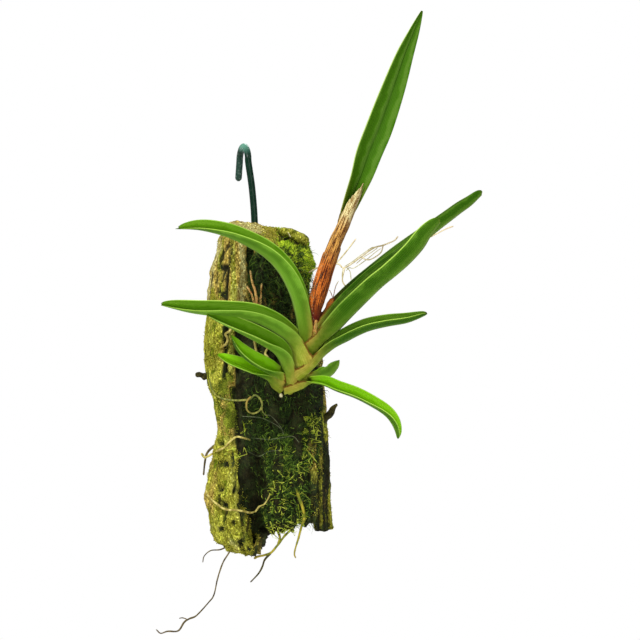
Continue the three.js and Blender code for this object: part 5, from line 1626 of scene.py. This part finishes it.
# %% Fronds
def fronds(spots, directions, length, width, droop, curl, fresh, steps=5):
    """Bent strands with a triangle for a section: straight out, sinking with the square of the way, and
    swinging sideways with a sine, while the section shrinks to a point."""
    count = len(spots)
    s = np.linspace(0, 1, steps)[None, :, None]
    across = unit(np.cross(directions, strewn(count, 1.0)))
    above = np.cross(directions, across)
    path = spots[:, None] + (directions * length)[:, None] * s
    path = path + (length * droop)[:, None] * s**2 * np.array([0, 0, -1.0])
    path = path + (across * length * curl)[:, None] * np.sin(3.4 * s) * s
    turn = (2 * np.pi * np.arange(3) / 3)[None, None, :, None]
    ring = across[:, None, None] * np.cos(turn) + above[:, None, None] * np.sin(turn)
    wide = np.broadcast_to(width, (count, 1))[:, None, :] * (1 - 0.75 * s)
    body = path[:, :, None] + ring * wide[..., None]
    tip = path[:, -1:] + (path[:, -1:] - path[:, -2:-1]) * 0.3
    foot = path[:, :1] - directions[:, None] * 0.2
    points = np.concatenate([body.reshape(count, -1, 3), foot, tip], 1)
    each = steps * 3
    ends = [[each, (k + 1) % 3, k] for k in range(3)]
    ends += [[each + 1, each - 3 + k, each - 3 + (k + 1) % 3] for k in range(3)]
    pattern = np.concatenate([grid_triangles(steps, 3), ends])
    triangles = (np.arange(count)[:, None, None] * (each + 2) + pattern).reshape(-1, 3)
    along_it = np.concatenate([np.repeat(s.ravel(), 3), [0, 1]])
    marks = {
        "along": np.broadcast_to(along_it, (count, each + 2)).ravel(),
        "fresh": np.repeat(np.broadcast_to(fresh, (count, 1))[:, 0], each + 2),
    }
    return {"points": points.reshape(-1, 3), "triangles": triangles, "marks": marks}


print("triangles in a frond of 5 steps:", len(grid_triangles(5, 3)) + 6)


# %% Moss finishes
def moss_finish(name, shade, full, light):
    """From shade at a leaflet's foot to full and light at its tip, with some leaflets fresher than others."""
    finish = Finish(name, Roughness=0.75, Specular_IOR_Level=0.2)
    fresh = finish.mark("fresh")
    tip = finish.blend(fresh, full, light)
    return finish.paint(Base_Color=finish.blend(finish.rise(finish.mark("along"), 0.0, 0.7), shade, tip))


bright_moss = moss_finish("bright_cushion_moss", (28, 40, 0), (104, 142, 0), (216, 238, 60))
strip_moss = moss_finish("green_strip_moss", (30, 36, 2), (84, 100, 8), (190, 200, 64))
olive_moss = moss_finish("olive_bark_moss", (60, 54, 2), (140, 136, 18), (222, 216, 80))
dark_moss = moss_finish("dark_frond_moss", (8, 16, 4), (32, 56, 18), (150, 190, 62))
curl_moss = moss_finish("bright_curly_moss", (84, 100, 8), (158, 178, 24), (240, 250, 100))
print("moss finishes:", sum(each.name.endswith("moss") for each in bpy.data.materials))

# %% Where each moss grows
# Bright curls: how thickly they grow, and the borders of each place as in PLACES.
BRIGHT_PLACES = [
    (1.1, 23.5, 30, -113, -106, 1.2),
    (0.6, -2.4, 3, -113, -108.6, 1),
    (0.7, 20, 25, -132, -124, 1.5),
    (0.6, 11, 17, -144, -131, 2),
    (0.5, -5.6, -0.8, -125, -117, 1),
    (0.25, 9, 25, -150, -116, 2),
    (0.8, 11, 23, -154, -149, 1),
    (0.4, 23.5, 29, -128, -114, 1.5),
]
bx, by, bz = bark_body["points"].T
bark_marks_flat = bark_body["marks"]
not_behind = smooth(-by, -2, 3)
facing_front = smooth(-by, 12, 17)
clumps = smooth(layered(bark_body["points"], 4.5, 2, 71), -0.25, 0.55)
top_cushion = at_place("top_moss", bx, bz) * not_behind + 0.7 * at_place("shoulder_moss", bx, bz)
top_cushion = top_cushion * smooth(clumps, -0.1, 0.4) * (1 - 0.6 * bark_marks_flat["dark"])
open_crack = np.clip(1 - 1.8 * stroke(bx, bz + 0.3, FLAP_EDGE, 0.8), 0, 1) * (1 - bark_marks_flat["back"])
top_cushion = top_cushion * open_crack * (1 - flap(bx, bz))
flap_felt = flap(bx, bz) * np.clip(1 - 1.8 * stroke(bx, bz + 0.4, FLAP_EDGE, 0.7), 0, 1)
flap_felt = flap_felt * not_behind + 0.5 * at_place("moss_beside_flap", bx, bz) * clumps
ridge_crumbs = bark_marks_flat["lime"] * facing_front * clumps * (1 - 0.9 * bark_marks_flat["dark"])
hollow_fronds = at_place("hollow_fronds", bx, bz) * facing_front
under_plant = (at_place("tufts", bx, bz) + 0.7 * at_place("right_tufts", bx, bz)) * facing_front
under_plant = under_plant * (0.1 + clumps) * (1 - 0.9 * at_place("bare_groove", bx, bz))
curly_tufts = at_place("curly_tufts", bx, bz) * facing_front * clumps
green_strips = stroke(bx, bz, [[-7, -92], [-6.6, -104], [-6, -114]], 1.8) * facing_front * (0.06 + clumps)
bright_places = sum(share * patch(bx, bz, *borders) for share, *borders in BRIGHT_PLACES) * facing_front
print("cushion covers", int((top_cushion > 0.5).sum()), "points of the bark")

# %% Grow the cushions
def cushion(weight, count, length, width, lean, name, finish):
    """Leaflets that stand out of the bark, leaning every way, fresher where noise says so."""
    spots, out = scattered(weight, count)
    directions = unit(out + strewn(count, lean) + [0, -0.1, 0.35])
    size = rng.uniform(0.6, 1.3, (count, 1))
    fresh = np.clip(0.35 + 0.7 * noise(spots, 2.2, 81)[:, None] + rng.normal(0, 0.3, (count, 1)), 0, 1)
    return add_piece(name, leaflets(spots, directions, length * size, width * size, fresh), finish)


cushion(top_cushion, 15000, 1.05, 0.2, 1.0, "moss_top_cushion", bright_moss)
cushion(flap_felt, 5000, 0.55, 0.13, 0.9, "moss_flap_felt", olive_moss)
cushion(ridge_crumbs, 9000, 0.7, 0.14, 1.0, "moss_ridge_crumbs", olive_moss)
cushion(green_strips, 4200, 0.9, 0.15, 0.9, "moss_green_strips", strip_moss)
print("cushion triangles:", sum(made_triangles[name] for name in made_triangles if name.startswith("moss")))

# %% Grow the fronds
def frond_bed(weight, count, length, width, lean, droop, curl, bright_share, name, steps=5, finish=dark_moss):
    """Strands that lean out of the bark and sink. Most are dark, and a share of them is fresh and bright."""
    spots, out = scattered(weight, count)
    directions = unit(out * 0.9 + strewn(count, lean) + [0, -0.1, 0.1])
    size = length * rng.uniform(0.5, 1.4, (count, 1))
    fresh = rng.uniform(0, 0.15, (count, 1))
    fresh = fresh + (rng.random((count, 1)) < bright_share) * rng.uniform(0.3, 0.85)
    bends = rng.uniform(0.2, 1, (count, 1)) * droop, rng.normal(0, 1, (count, 1)) * curl
    return add_piece(name, fronds(spots, directions, size, width, *bends, fresh, steps), finish)


frond_bed(hollow_fronds, 1900, 4.2, 0.16, 0.6, 0.5, 0.25, 0.15, "moss_hollow_fronds")
frond_bed(under_plant, 3600, 2.3, 0.15, 0.7, 0.6, 0.5, 0.08, "moss_dark_tufts")
frond_bed(curly_tufts, 1300, 3.0, 0.17, 0.8, 0.4, 0.9, 0.3, "moss_curly_tufts", 7)
frond_bed(bright_places, 520, 1.9, 0.25, 0.8, 0.1, 1.5, 0.8, "moss_bright_curls", 9, curl_moss)
print("moss pieces:", sum(name.startswith("moss") for name in made_triangles))

# %% [markdown]
# ## Last measures
#
# The dressed object is meant to stay the size of the imported one. At the end the triangles of all the
# added pieces are counted.

# %% Count the triangles
print("triangles added:", sum(made_triangles.values()))
